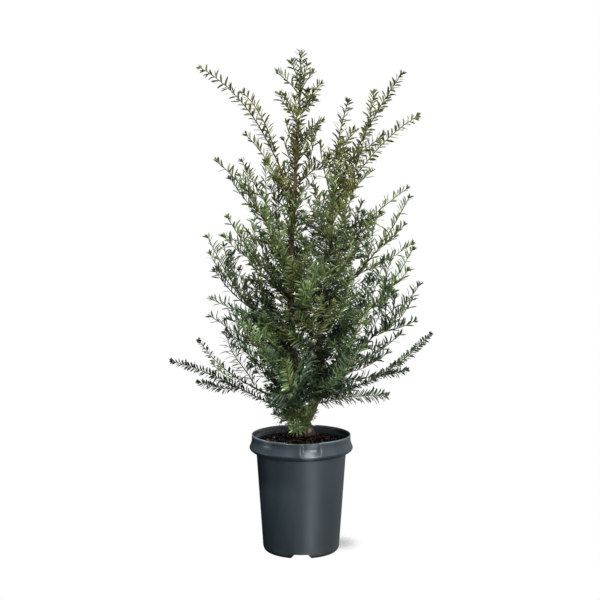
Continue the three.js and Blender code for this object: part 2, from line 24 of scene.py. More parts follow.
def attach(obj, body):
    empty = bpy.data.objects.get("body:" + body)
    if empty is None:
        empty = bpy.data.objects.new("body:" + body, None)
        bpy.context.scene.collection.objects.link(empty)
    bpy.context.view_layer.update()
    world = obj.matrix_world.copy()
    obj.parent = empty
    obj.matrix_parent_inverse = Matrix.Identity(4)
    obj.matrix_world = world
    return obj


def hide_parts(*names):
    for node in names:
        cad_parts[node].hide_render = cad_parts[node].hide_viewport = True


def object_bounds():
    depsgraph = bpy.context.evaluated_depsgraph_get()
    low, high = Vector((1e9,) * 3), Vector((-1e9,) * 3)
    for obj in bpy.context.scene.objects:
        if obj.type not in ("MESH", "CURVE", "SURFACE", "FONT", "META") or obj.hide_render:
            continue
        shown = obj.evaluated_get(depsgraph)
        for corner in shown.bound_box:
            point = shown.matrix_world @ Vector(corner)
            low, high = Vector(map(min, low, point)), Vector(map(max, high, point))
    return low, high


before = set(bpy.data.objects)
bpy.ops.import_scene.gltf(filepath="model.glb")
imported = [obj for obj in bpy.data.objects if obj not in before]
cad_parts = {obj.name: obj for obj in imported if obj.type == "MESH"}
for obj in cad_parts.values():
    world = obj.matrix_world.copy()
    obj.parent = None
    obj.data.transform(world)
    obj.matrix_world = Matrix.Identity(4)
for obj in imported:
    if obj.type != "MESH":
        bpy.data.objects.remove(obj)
CAD_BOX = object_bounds()

LOG = logging.getLogger("yew")
Array = NDArray[np.float64]
Indices = NDArray[np.int64]
Place = tuple[float, float, float]
Colour = tuple[float, float, float]
Span = tuple[float, float]
Piece = bpy.types.Object
Material = bpy.types.Material

METRES = 0.001
BODY = "root"
UP = np.array([0.0, 0.0, 1.0])
RIGHT = np.array([1.0, 0.0, 0.0])
WHITE = (1.0, 1.0, 1.0)
GOLDEN_ANGLE = 137.5
STEP_SPREAD = (0.6, 1.4)


# ---------------- numbers and space


class SeededStream:
    """The source's seeded stream of numbers from 0 to 1."""

    WORD = 0xFFFFFFFF
    STEP = 0x6D2B79F5

    def __init__(self, seed: int) -> None:
        """Start the stream with the number that fixes every draw."""
        self.state = seed & self.WORD

    def draw(self) -> float:
        """Draw the next number.

        Returns:
            A number from 0 to 1.
        """
        self.state = (self.state + self.STEP) & self.WORD
        mixed = ((self.state ^ (self.state >> 15)) * (self.state | 1)) & self.WORD
        mixed ^= (mixed + (mixed ^ (mixed >> 7)) * (mixed | 61)) & self.WORD
        return ((mixed ^ (mixed >> 14)) & self.WORD) / (self.WORD + 1)

    def spread(self) -> float:
        """Return the next number as one from -1 to 1."""
        return 2 * self.draw() - 1

    def between(self, low: float, high: float) -> float:
        """Return the next number as one from low to high."""
        return low + (high - low) * self.draw()


class SolidNoise:
    """Smooth seeded noise in space, from -1 to 1."""

    SIZE = 24

    def __init__(self, seed: int) -> None:
        """Fill a cube of cells, after which the noise repeats."""
        self.lattice = np.random.default_rng(seed).uniform(-1, 1, (self.SIZE, self.SIZE, self.SIZE))

    def at(self, places: Array) -> Array:
        """Read the noise.

        Args:
            places: An N by 3 array, one lattice cell to a unit.

        Returns:
            One value for each place.
        """
        cell = np.floor(places).astype(int)
        within = places - cell
        within = within * within * (3 - 2 * within)
        total = np.zeros(len(places))
        for corner in itertools.product((0, 1), repeat=3):
            weight = np.prod(np.where(corner, within, 1 - within), axis=1)
            x, y, z = ((cell + corner) % self.SIZE).T
            total += weight * self.lattice[x, y, z]
        return total

    def layered(self, places: Array, layers: int) -> Array:
        """Return the sum of so many layers of noise, each twice as fine and half as strong."""
        return sum(self.at(places * 2**layer + 7.3 * layer) / 2**layer for layer in range(layers))


def unit(vectors: Array) -> Array:
    """Return a vector, or each row of an array, scaled to a length of one."""
    return vectors / np.maximum(np.linalg.norm(vectors, axis=-1, keepdims=True), 1e-12)


def turned_about(vector: Array, axis: Array, degrees: float) -> Array:
    """Turn a vector about an axis.

    Args:
        vector: What is turned.
        axis: A unit vector.
        degrees: The angle, counter-clockwise as seen from the axis's tip.

    Returns:
        The turned vector.
    """
    angle = math.radians(degrees)
    along = axis * float(vector @ axis)
    return along + (vector - along) * math.cos(angle) + np.cross(axis, vector) * math.sin(angle)


def level(degrees: float) -> Array:
    """Return the level unit vector at an angle from the right, towards the back."""
    return np.array([math.cos(math.radians(degrees)), math.sin(math.radians(degrees)), 0.0])


def smooth_step(value: Array, low: float, high: float) -> Array:
    """Return values eased from 0 at low to 1 at high."""
    share = np.clip((value - low) / (high - low), 0, 1)
    return share * share * (3 - 2 * share)


class Route:
    """A smooth line through space, read by the share of its length."""

    SAMPLES = 400
    NEAR = 0.01

    def __init__(self, points: Array) -> None:
        """Measure the line.

        Args:
            points: The places it passes, close together.
        """
        self.points = points
        steps = np.linalg.norm(np.diff(points, axis=0), axis=1)
        self.reach = np.concatenate([[0.0], np.cumsum(steps)])
        self.length = float(self.reach[-1])

    @classmethod
    def through(cls, places: Sequence[Place]) -> "Route":
        """Pass a centripetal Catmull-Rom spline through places.

        Args:
            places: The places, in order.

        Returns:
            The route.
        """
        knots = np.array(places, float)
        knots = np.vstack([2 * knots[0] - knots[1], knots, 2 * knots[-1] - knots[-2]])
        pieces = []
        share = np.linspace(0, 1, cls.SAMPLES // len(places), endpoint=False)[:, None]
        for a, b, c, d in zip(knots, knots[1:], knots[2:], knots[3:]):
            first, middle, last = (np.linalg.norm(q - p) ** 0.5 for p, q in ((a, b), (b, c), (c, d)))
            out = ((b - a) / first - (c - a) / (first + middle) + (c - b) / middle) * middle
            back = ((c - b) / middle - (d - b) / (middle + last) + (d - c) / last) * middle
            bend = 3 * (c - b) - 2 * out - back
            pieces.append(b + out * share + bend * share**2 + (2 * (b - c) + out + back) * share**3)
        return cls(np.vstack([*pieces, knots[-2:-1]]))

    @classmethod
    def bezier(cls, controls: Sequence[Array]) -> "Route":
        """Draw a quadratic or cubic curve.

        Args:
            controls: Its three or four control points.

        Returns:
            The route.
        """
        share = np.linspace(0, 1, cls.SAMPLES // 4)[:, None]
        degree = len(controls) - 1
        weights = [math.comb(degree, k) * share**k * (1 - share) ** (degree - k) for k in range(degree + 1)]
        return cls(sum(weight * control for weight, control in zip(weights, controls)))

    def at(self, share: Array | float) -> Array:
        """Return the place or places at a share of the length."""
        reach = np.asarray(share) * self.length
        return np.stack([np.interp(reach, self.reach, self.points[:, axis]) for axis in range(3)], axis=-1)

    def heading(self, share: Array | float) -> Array:
        """Return the unit heading or headings at a share of the length."""
        share = np.asarray(share, float)
        return unit(self.at(np.clip(share + self.NEAR, 0, 1)) - self.at(np.clip(share - self.NEAR, 0, 1)))

    def part(self, start: float, end: float) -> "Route":
        """Return the stretch between two shares of the length."""
        return Route(self.at(np.linspace(start, end, self.SAMPLES // 4)))


# ---------------- meshes


class MeshPile:
    """Triangles of many small parts, joined into one mesh with several finishes."""

    def __init__(self) -> None:
        """Start with nothing in the pile."""
        self.corners: list[Array] = []
        self.triangles: list[Indices] = []
        self.finish: list[Indices] = []
        self.count = 0

    def add(self, corners: Array, triangles: Indices, finish: Indices | int) -> None:
        """Put one part on the pile.

        Args:
            corners: Its vertices, V by 3, in millimetres.
            triangles: Its faces, F by 3, counted from its own first vertex.
            finish: The place of each face's material in the list that build is given.
        """
        self.corners.append(corners)
        self.triangles.append(triangles + self.count)
        self.finish.append(np.broadcast_to(np.asarray(finish, int), (len(triangles),)))
        self.count += len(corners)

    def build(self, name: str, materials: Sequence[Material], smooth: bool = False) -> Piece:
        """Join the pile.

        Args:
            name: The piece's name.
            materials: What the finish numbers stand for.
            smooth: Whether the faces are shaded smooth.

        Returns:
            The object, linked to the scene.
        """
        corners = np.vstack(self.corners) * METRES
        triangles = np.vstack(self.triangles)
        mesh = bpy.data.meshes.new(name)
        mesh.vertices.add(len(corners))
        mesh.vertices.foreach_set("co", corners.astype(np.float32).ravel())
        mesh.loops.add(triangles.size)
        mesh.loops.foreach_set("vertex_index", triangles.astype(np.int32).ravel())
        mesh.polygons.add(len(triangles))
        mesh.polygons.foreach_set("loop_start", np.arange(0, triangles.size, 3, dtype=np.int32))
        for material in materials:
            mesh.materials.append(material)
        mesh.polygons.foreach_set("material_index", np.concatenate(self.finish).astype(np.int32))
        mesh.polygons.foreach_set("use_smooth", np.full(len(triangles), smooth))
        mesh.update(calc_edges=True)
        mesh.validate()
        return linked(name, mesh)


def linked(name: str, mesh: bpy.types.Mesh) -> Piece:
    """Make an object of a mesh.

    Args:
        name: The object's name.
        mesh: Its mesh, already in place.

    Returns:
        The object, linked to the scene.
    """
    made = bpy.data.objects.new(name, mesh)
    bpy.context.scene.collection.objects.link(made)
    return made


def skin(rings: Array) -> tuple[Array, Indices]:
    """Stretch triangles over rings of points, with a fan over each end.

    Args:
        rings: R rings of N points each, R by N by 3, counter-clockwise as seen from the last ring.

    Returns:
        The vertices and the triangles.
    """
    count, sides = rings.shape[:2]
    ring, side = np.meshgrid(np.arange(count - 1), np.arange(sides), indexing="ij")
    a, b = ring * sides + side, ring * sides + (side + 1) % sides
    halves = ([a, b, b + sides], [a, b + sides, a + sides])
    faces = [np.stack(half, -1).reshape(-1, 3) for half in halves]
    around = np.arange(sides)
    onward = (around + 1) % sides
    last, middle = (count - 1) * sides, np.full(sides, count * sides)
    faces.append(np.stack([onward, around, middle], -1))
    faces.append(np.stack([last + around, last + onward, middle + 1], -1))
    return np.vstack([rings.reshape(-1, 3), [rings[0].mean(0), rings[-1].mean(0)]]), np.vstack(faces)


def dress(piece: Piece, nodes: Iterable[str] = ()) -> None:
    """Tie a piece to the body, and hide the CAD nodes that it stands for.

    Args:
        piece: The finished piece.
        nodes: The CAD nodes that it replaces.
    """
    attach(piece, BODY)
    if nodes:
        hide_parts(*nodes)
    LOG.info("%s: %d faces", piece.name, len(piece.data.polygons))


# ---------------- shader maths


class Signal:
    """A shader socket that can stand in sums with numbers and other signals."""

    def __init__(self, sheet: "NodeSheet", socket: bpy.types.NodeSocket) -> None:
        """Wrap an output socket of a sheet's node."""
        self.sheet = sheet
        self.socket = socket

    def _math(self, operation: str, first: "Signal | float", second: "Signal | float") -> "Signal":
        """Return a Math node's result on two values."""
        return self.sheet.node("ShaderNodeMath", {"operation": operation}, {0: first, 1: second})["Value"]

    def __add__(self, other: "Signal | float") -> "Signal":
        """Return self + other."""
        return self._math("ADD", self, other)

    __radd__ = __add__

    def __sub__(self, other: "Signal | float") -> "Signal":
        """Return self - other."""
        return self._math("SUBTRACT", self, other)

    def __rsub__(self, other: "Signal | float") -> "Signal":
        """Return other - self."""
        return self._math("SUBTRACT", other, self)

    def __mul__(self, other: "Signal | float") -> "Signal":
        """Return self * other."""
        return self._math("MULTIPLY", self, other)

    __rmul__ = __mul__

    def ramp(self, low: float, high: float) -> "Signal":
        """Return 0 below low and 1 above high, with an even slope between them."""
        limits = {"Value": self, "From Min": low, "From Max": high}
        return self.sheet.node("ShaderNodeMapRange", {"clamp": True}, limits)["Result"]


class NodeSheet:
    """A tree of shader nodes, all made by one method."""

    MIX_INPUTS = (0, 6, 7)

    def __init__(self, tree: bpy.types.NodeTree) -> None:
        """Empty the tree that the nodes go in."""
        self.tree = tree
        self.tree.nodes.clear()

    def node(self, kind: str, settings: dict[str, Any], sockets: dict[str | int, Any]) -> dict[str, Signal]:
        """Add one node.

        Args:
            kind: Its Blender type.
            settings: Its properties, set first.
            sockets: Values or signals for its inputs, by name or number.

        Returns:
            Its outputs by name.
        """
        made = self.tree.nodes.new(kind)
        for key, value in settings.items():
            setattr(made, key, value)
        for key, value in sockets.items():
            self._feed(made.inputs[key], value)
        return {out.name: Signal(self, out) for out in made.outputs if out.enabled}

    def _feed(self, entry: bpy.types.NodeSocket, value: Any) -> None:
        """Link a signal to an input, or set the input's own value.

        Args:
            entry: The input.
            value: A signal, a number, a colour or a vector.
        """
        if isinstance(value, Signal):
            self.tree.links.new(value.socket, entry)
        elif entry.type == "RGBA":
            entry.default_value = (*value, 1.0)
        else:
            entry.default_value = value

    def place(self, scale: Place = (1.0, 1.0, 1.0)) -> Signal:
        """Return the surface's place in metres, stretched by a scale for each axis."""
        sockets = {0: self.node("ShaderNodeTexCoord", {}, {})["Object"], 1: scale}
        return self.node("ShaderNodeVectorMath", {"operation": "MULTIPLY"}, sockets)["Vector"]

    def distance(self, at: Signal, point: Place) -> Signal:
        """Return how far a place is from a point."""
        return self.node("ShaderNodeVectorMath", {"operation": "DISTANCE"}, {0: at, 1: point})["Value"]

    def noise(self, at: Signal, scale: float, detail: float = 2.0, roughness: float = 0.5) -> Signal:
        """Return cloudy noise from about 0 to 1, with so many cells to a metre."""
        inputs = {"Vector": at, "Scale": scale, "Detail": detail, "Roughness": roughness}
        return self.node("ShaderNodeTexNoise", {}, inputs)["Fac"]

    def cells(self, at: Signal, scale: float) -> Signal:
        """Return the way to the nearest cell's middle, with so many cells to a metre."""
        return self.node("ShaderNodeTexVoronoi", {}, {"Vector": at, "Scale": scale})["Distance"]

    def mix(self, share: Signal | float, first: Any, second: Any) -> Signal:
        """Return a colour between two colours."""
        sockets = dict(zip(self.MIX_INPUTS, (share, first, second)))
        return self.node("ShaderNodeMix", {"data_type": "RGBA"}, sockets)["Result"]

    def axis(self, vector: Signal, name: str) -> Signal:
        """Return the X, Y or Z of a vector."""
        return self.node("ShaderNodeSeparateXYZ", {}, {"Vector": vector})[name]

    def bump(self, height: Signal, depth: float, strength: float, **below: Signal) -> Signal:
        """Return a normal bumped by a height signal, so many metres deep, over any Normal below it."""
        inputs = {"Height": height, "Distance": depth, "Strength": strength, **below}
        return self.node("ShaderNodeBump", {}, inputs)["Normal"]


class FinishSheet(NodeSheet):
    """The nodes of one material, round its shader."""

    def __init__(self, name: str) -> None:
        """Start a material with a shader and an output.

        Args:
            name: The material's name.
        """
        self.material = bpy.data.materials.new(name)
        self.material.use_nodes = True
        super().__init__(self.material.node_tree)
        self.shader = self.tree.nodes.new("ShaderNodeBsdfPrincipled")
        output = self.tree.nodes.new("ShaderNodeOutputMaterial")
        self.tree.links.new(self.shader.outputs["BSDF"], output.inputs["Surface"])

    def set(self, **values: Any) -> None:
        """Set or link inputs of the shader, named with underscores for spaces."""
        for key, value in values.items():
            self._feed(self.shader.inputs[key.replace("_", " ").title().replace("Ior", "IOR")], value)


# ---------------- finishes


@dataclass(frozen=True)
class PotPlastic:
    """Moulded nursery-pot plastic: slate blue, satin, a little scuffed and dusty.

    The heights are where a change starts and ends. One patch of the rim by the front grip is painted
    paler, a painted highlight, and made glossier. The foot is painted darker as painted shade, and the
    rim and the lip's scuffed edge are painted lighter as painted light.
    """

    # Painted shade: base, at the foot, and faded, up the wall, paint the plastic darker towards the foot.
    base: Colour = (0.0095, 0.0165, 0.0205)
    faded: Colour = (0.0235, 0.0375, 0.0460)
    worn: Colour = (0.0250, 0.0370, 0.0440)
    # Painted light: the rim is painted lighter where light falls on its up-facing flare and on the inside
    # above the ledge.
    rim: Colour = (0.0250, 0.0370, 0.0450)
    # Painted highlight: this pale colour goes on the lip's top edge, partly scuffing and partly painted
    # highlight, and on the patch by the grip.
    edge: Colour = (0.150, 0.175, 0.200)
    dust: Colour = (0.055, 0.057, 0.055)
    painted_foot_shade_heights: Span = (0.02, 0.215)
    painted_lit_rim_heights: Span = (0.222, 0.234)
    lip_highlight_heights: Span = (0.2555, 0.2590)
    dust_height: float = 0.035
    worn_share: float = 0.45
    rough: float = 0.40
    rim_gloss: float = 0.17
    # Painted highlight: a soft patch by the front grip is painted paler and made glossier.
    highlight_patch_gloss: float = 0.05
    highlight_patch_at: Span = (0.017, 0.231)
    highlight_patch_reach: float = 0.021
    highlight_patch_core: float = 0.35
    highlight_patch_stretch: float = 1.4
    highlight_patch_share: float = 0.7

    def material(self) -> Material:
        """Mix the plastic's colour, roughness and relief.

        Returns:
            The material.
        """
        sheet = FinishSheet("pot_plastic")
        at = sheet.place()
        cloud = sheet.noise(at, 14.0, 3.0)
        streak = sheet.noise(sheet.place((1.0, 1.0, 0.08)), 70.0, 3.0)
        grain = sheet.noise(at, 1400.0)
        scuff = sheet.noise(sheet.place((0.35, 0.35, 1.0)), 160.0, 4.0, 0.7)
        height = sheet.axis(at, "Z")
        # Painted shade: the wall is painted darker towards the foot and lighter above.
        colour = sheet.mix(height.ramp(*self.painted_foot_shade_heights), self.base, self.faded)
        worn = (cloud * 0.7 + streak * 0.5).ramp(0.45, 0.8) * self.worn_share
        colour = sheet.mix(worn, colour, self.worn)
        # Painted light: above these heights the rim is painted lighter; further down it is also made
        # glossier.
        rim = height.ramp(*self.painted_lit_rim_heights)
        colour = sheet.mix(rim, colour, self.rim)
        # Partly scuffing, partly painted highlight: the lip's top edge is painted pale where the scuff noise
        # allows.
        scuffed = height.ramp(*self.lip_highlight_heights) * scuff.ramp(0.2, 0.5)
        colour = sheet.mix(scuffed, colour, self.edge)
        # Painted highlight: a soft patch by the front grip is painted pale.
        x, z = self.highlight_patch_at
        spot = sheet.place((1.0, 0.0, self.highlight_patch_stretch))
        away = sheet.distance(spot, (x, 0.0, z * self.highlight_patch_stretch))
        highlight_patch = 1 - away.ramp(self.highlight_patch_reach * self.highlight_patch_core, self.highlight_patch_reach)
        colour = sheet.mix(highlight_patch * self.highlight_patch_share, colour, self.edge)
        low = 1 - height.ramp(0.0, self.dust_height)
        dusty = low * cloud.ramp(0.4, 0.7) * 0.35 + scuff.ramp(0.66, 0.74) * 0.16
        rough = self.rough + streak.ramp(0.35, 0.75) * 0.07 + dusty * 0.4
        rough = rough - rim * self.rim_gloss - highlight_patch * self.highlight_patch_gloss
        normal = sheet.bump(grain, 0.00006, 0.5)
        normal = sheet.bump(cloud, 0.0012, 0.35, Normal=normal)
        sheet.set(base_color=sheet.mix(dusty, colour, self.dust), roughness=rough, normal=normal)
        sheet.set(specular_ior_level=0.5)
        return sheet.material


@dataclass(frozen=True)
class Bark:
    """Young yew bark: thin scales, grey-brown over rusty red, and pale where it is torn.

    The heights are where the bark starts to turn younger or greener, and where it has turned.
    """

    outer: Colour = (0.060, 0.044, 0.036)
    inner: Colour = (0.078, 0.044, 0.032)
    furrow: Colour = (0.014, 0.010, 0.008)
    young: Colour = (0.200, 0.118, 0.056)
    green: Colour = (0.110, 0.078, 0.046)
    torn: Colour = (0.42, 0.24, 0.18)
    torn_at: Place = (0.0188, 0.031, 0.260)
    torn_reach: float = 0.0065
    torn_core: float = 0.45
    torn_fray: float = 0.012
    young_heights: Span = (0.56, 0.74)
    green_heights: Span = (0.80, 1.02)

    def material(self) -> Material:
        """Mix the bark's colour, roughness and relief.

        Returns:
            The material.
        """
        sheet = FinishSheet("bark")
        at = sheet.place()
        long_grain = sheet.place((1.0, 1.0, 0.3))
        plates = sheet.cells(long_grain, 260.0)
        cloud = sheet.noise(at, 55.0, 3.0)
        fine = sheet.noise(long_grain, 900.0, 4.0, 0.6)
        height = sheet.axis(at, "Z")
        colour = sheet.mix((cloud + fine * 0.4).ramp(0.55, 0.85), self.outer, self.inner)
        colour = sheet.mix((plates + fine * 0.5).ramp(0.75, 1.0) * 0.7, colour, self.furrow)
        ageing = height.ramp(*self.young_heights)
        colour = sheet.mix(ageing * (0.55 + fine * 0.5), colour, self.young)
        colour = sheet.mix(height.ramp(*self.green_heights) * 0.75, colour, self.green)
        away = sheet.distance(at, self.torn_at) + (fine - 0.5) * self.torn_fray
        torn = (1 - away.ramp(self.torn_reach * self.torn_core, self.torn_reach)) * 0.9
        colour = sheet.mix(torn, colour, self.torn)
        normal = sheet.bump(fine, 0.0006, 0.8)
        normal = sheet.bump(plates, 0.0009, 0.7, Normal=normal)
        sheet.set(base_color=colour, roughness=0.86 - torn * 0.2, normal=normal)
        return sheet.material


@dataclass(frozen=True)
class PlainSkin:
    """A plain base colour for small joined parts, with fine mottling in its shade and its gloss."""

    name: str
    colour: Colour
    rough: float = 0.5
    mottle: float = 0.25
    cells: float = 420.0
    relief: float = 0.0002
    specular: float = 0.28

    def material(self) -> Material:
        """Mix the skin's shade, gloss and relief.

        Returns:
            The material.
        """
        sheet = FinishSheet(self.name)
        grain = sheet.noise(sheet.place(), self.cells)
        dark = tuple(part * (1 - self.mottle) for part in self.colour)
        light = tuple(min(1.0, part * (1 + self.mottle)) for part in self.colour)
        sheet.set(base_color=sheet.mix(grain.ramp(0.3, 0.7), dark, light))
        sheet.set(roughness=self.rough + (grain - 0.5) * 0.2, normal=sheet.bump(grain, self.relief, 0.6))
        sheet.set(specular_ior_level=self.specular)
        return sheet.material


class Tone(Enum):
    """The greens of the needles, from the shaded inside of the crown to its sunlit tips."""

    DEEP = 0
    BLUE = 1
    LEAF = 2
    FRESH = 3
    OLIVE = 4
    YOUNG = 5


@dataclass(frozen=True)
class NeedlePalette:
    """The parts of a needle in each tone: a pale stalk, waxy above, lighter and dull below."""

    upper: dict[Tone, Colour] = field(
        default_factory=lambda: {
            Tone.DEEP: (0.0095, 0.0225, 0.0100),
            Tone.BLUE: (0.0370, 0.0720, 0.0420),
            Tone.LEAF: (0.0700, 0.1180, 0.0500),
            Tone.FRESH: (0.1180, 0.1720, 0.0560),
            Tone.OLIVE: (0.0760, 0.0840, 0.0240),
            Tone.YOUNG: (0.1600, 0.1680, 0.0460),
        }
    )
    pale: Colour = (0.150, 0.190, 0.110)
    pale_share: float = 0.10
    stalk: Colour = (0.240, 0.225, 0.090)
    stalk_share: float = 0.45
    gloss: float = 0.34
    dull: float = 0.6
    shine: float = 0.5

    def materials(self) -> list[Material]:
        """Make the materials of a needle's parts.

        Returns:
            The stalk, upper and under materials of each tone in turn.
        """
        made = []
        for tone in Tone:
            name, upper = tone.name.lower(), self.upper[tone]
            stalk = blend(upper, self.stalk, self.stalk_share)
            under = blend(upper, self.pale, self.pale_share)
            made.append(PlainSkin(f"stalk_{name}", stalk, self.dull).material())
            made.append(PlainSkin(f"needle_{name}", upper, self.gloss, 0.22, specular=self.shine).material())
            made.append(PlainSkin(f"needle_{name}_under", under, self.dull, 0.15).material())
        return made


def blend(first: Colour, second: Colour, share: float) -> Colour:
    """Return the colour at a share of the way from one colour to another."""
    return tuple(a + (b - a) * share for a, b in zip(first, second))


class Wood(Enum):
    """What a twig's skin has aged to."""

    GREEN = 0
    TAN = 1
    BROWN = 2
    BUD = 3
    GREY = 4


WOOD_SKINS = {
    Wood.GREEN: PlainSkin("twig_green", (0.105, 0.120, 0.036), 0.5, 0.2),
    Wood.TAN: PlainSkin("twig_tan", (0.078, 0.054, 0.024), 0.6, 0.3),
    Wood.BROWN: PlainSkin("twig_brown", (0.040, 0.026, 0.018), 0.8, 0.4),
    Wood.BUD: PlainSkin("bud", (0.085, 0.062, 0.026), 0.55, 0.3),
    Wood.GREY: PlainSkin("twig_grey", (0.16, 0.13, 0.11), 0.85, 0.35),
}


# ---------------- pot and compost


@dataclass
class Pot:
    """The nursery pot: a tapered wall, a flared rim with two pressed grips, and a notched foot."""

    height: float = 259.5
    wall: float = 2.2
    lip_radius: float = 109.8
    band_radius: float = 115.2
    band_height: float = 230.5
    neck_height: float = 218.5
    neck_radius: float = 99.6
    heel_radius: float = 85.6
    heel_height: float = 16.0
    foot_outer: float = 80.5
    foot_inner: float = 73.0
    plate_height: float = 10.0
    ledge_height: float = 246.0
    facets: int = 288
    corner: float = 1.1
    notch: Place = (46.0, 30.0, 9.5)
    notch_count: int = 4
    drain_radius: float = 5.0
    drain_at: float = 40.0
    grip_turns: tuple[float, ...] = (0.0, 180.0)
    lip_drop: float = 1.6
    lip_drop_turns: Span = (-17.0, 21.0)
    pocket_turns: Span = (0.5, 21.5)
    pocket_depth: float = 4.0
    arc_steps: int = 5
    longest_step: float = 4.0
    crease: float = 38.0
    finish: PotPlastic = PotPlastic()

    def wall_inside(self, height: float) -> float:
        """Return the inside radius of the straight wall at a height."""
        share = (height - self.heel_height) / (self.neck_height - self.heel_height)
        return self.heel_radius + (self.neck_radius - self.heel_radius) * share - self.wall

    def outline(self) -> list[Place]:
        """List the section's corners, from the axis and back to it.

        Returns:
            The radius, the height and the rounding of each.
        """
        floor = self.plate_height + self.wall
        lip = self.lip_radius - self.wall
        return [
            (0.0, self.plate_height, 0.0),
            (self.foot_inner - 2, self.plate_height, 1.5),
            (self.foot_inner, 0.0, 0.5),
            (self.foot_outer, 0.0, 1.2),
            (self.heel_radius - 1.8, 3.5, 3.0),
            (self.heel_radius - 0.4, 8.0, 3.0),
            (self.heel_radius, self.heel_height, 4.0),
            (self.neck_radius, self.neck_height, 1.4),
            (self.band_radius - 6, self.neck_height + 3.5, 3.0),
            (self.band_radius - 1, self.neck_height + 8, 2.4),
            (self.band_radius, self.band_height, 2.4),
            (self.lip_radius + 2.5, self.band_height + 7, 7.0),
            (self.lip_radius, self.band_height + 15, 9.0),
            (self.lip_radius, self.height, self.corner),
            (lip, self.height, self.corner * 0.8),
            (lip - 2.5, self.ledge_height + 3, 1.2),
            (self.wall_inside(self.ledge_height), self.ledge_height, 1.0),
            (self.wall_inside(floor + 8), floor + 8, 6.0),
            (self.wall_inside(floor) - 5, floor, 4.0),
            (0.0, floor, 0.0),
        ]

    def rounded(self) -> Array:
        """Round the outline's corners and cut its long stretches into short ones.

        Returns:
            Radius and height of every point, P by 2.
        """
        corners = np.array(self.outline())
        bent: list[Array] = [corners[0, :2]]
        for before, here, after in zip(corners, corners[1:], corners[2:]):
            back, on = before[:2] - here[:2], after[:2] - here[:2]
            reach = min(here[2], 0.48 * np.linalg.norm(back), 0.48 * np.linalg.norm(on))
            start, end = here[:2] + unit(back) * reach, here[:2] + unit(on) * reach
            for share in np.linspace(0, 1, self.arc_steps):
                bent.append((1 - share) ** 2 * start + 2 * share * (1 - share) * here[:2] + share**2 * end)
        bent.append(corners[-1, :2])
        cut = [bent[0]]
        for point in bent[1:]:
            steps = max(1, math.ceil(float(np.linalg.norm(point - cut[-1])) / self.longest_step))
            start = cut[-1]
            cut.extend(start + (point - start) * k / steps for k in range(1, steps + 1))
        return np.array(cut)

    def pressed(self, radius: Array, height: Array, turn: Array) -> tuple[Array, Array]:
        """Press the grips into the rim.

        Args:
            radius: Radius of each point.
            height: Height of each point.
            turn: Its direction in degrees from the front, towards the right.

        Returns:
            The new radius and height.
        """
        outside = radius > self.lip_radius - 1.2
        for grip in self.grip_turns:
            angle = (turn - grip + 180) % 360 - 180
            drop = smooth_step(angle, self.lip_drop_turns[0] - 1, self.lip_drop_turns[0])
            drop *= 1 - smooth_step(angle, self.lip_drop_turns[1] - 1.5, self.lip_drop_turns[1] + 1.5)
            height = height - drop * self.lip_drop * smooth_step(height, self.height - 8, self.height - 1)
            dent = smooth_step(angle, self.pocket_turns[0] - 2.0, self.pocket_turns[0] + 2.0)
            dent *= 1 - smooth_step(angle, self.pocket_turns[1] - 4.0, self.pocket_turns[1] + 2.0)
            shelf = smooth_step(height, self.band_height - 3, self.band_height + 10)
            shelf *= 1 - 0.55 * smooth_step(height, self.band_height + 12, self.height - 1)
            radius = np.where(outside, radius - dent * shelf * self.pocket_depth, radius)
        return radius, height

    def shell(self) -> Piece:
        """Turn the outline and press the grips.

        Returns:
            The pot before its foot is opened.
        """
        outline = self.rounded()
        turns = np.arange(self.facets) * 360 / self.facets
        radius, turn = np.meshgrid(outline[1:-1, 0], turns, indexing="ij")
        height = np.broadcast_to(outline[1:-1, 1][:, None], radius.shape)
        radius, height = self.pressed(radius, height, turn)
        angle = np.radians(turn - 90)
        rings = np.stack([radius * np.cos(angle), radius * np.sin(angle), height], axis=-1)
        pile = MeshPile()
        pile.add(*skin(rings), 0)
        return pile.build("pot_shell", [self.finish.material()], smooth=True)

    def cutters(self) -> list[Piece]:
        """Make what opens the foot.

        Returns:
            The wedges of the notches and the drills of the drain holes.
        """
        foot, head, tall = self.notch
        spare = 1.0
        wing = spare * (foot - head) / 2 / tall
        profile = [
            (-foot / 2 - wing, -spare), (foot / 2 + wing, -spare), (head / 2, tall), (-head / 2, tall)
        ]  # fmt: skip
        turned = np.arange(24) * 360 / 24
        circle = np.array([level(turn) for turn in turned]) * self.drain_radius
        made = []
        for k in range(self.notch_count):
            turn = k * 360 / self.notch_count - 90
            out, across = level(turn), level(turn + 90)
            rings = np.array([[out * reach + across * x + UP * z for x, z in profile] for reach in (90, 60)])
            made.append(self._cutter(f"notch_{k}", rings))
            hole = circle + level(turn + 180 / self.notch_count) * self.drain_at
            made.append(self._cutter(f"drain_{k}", np.array([hole + UP * 2, hole + UP * 20])))
        return made

    def _cutter(self, name: str, rings: Array) -> Piece:
        """Make one closed cutter, facing outwards whichever way its rings are listed.

        Args:
            name: Its name.
            rings: Its two rings.

        Returns:
            The cutter.
        """
        corners, faces = skin(rings)
        a, b, c = (corners[faces[:, k]] - corners.mean(0) for k in range(3))
        if np.sum(a * np.cross(b, c)) < 0:
            faces = faces[:, ::-1]
        pile = MeshPile()
        pile.add(corners, faces, 0)
        return pile.build(name, [])

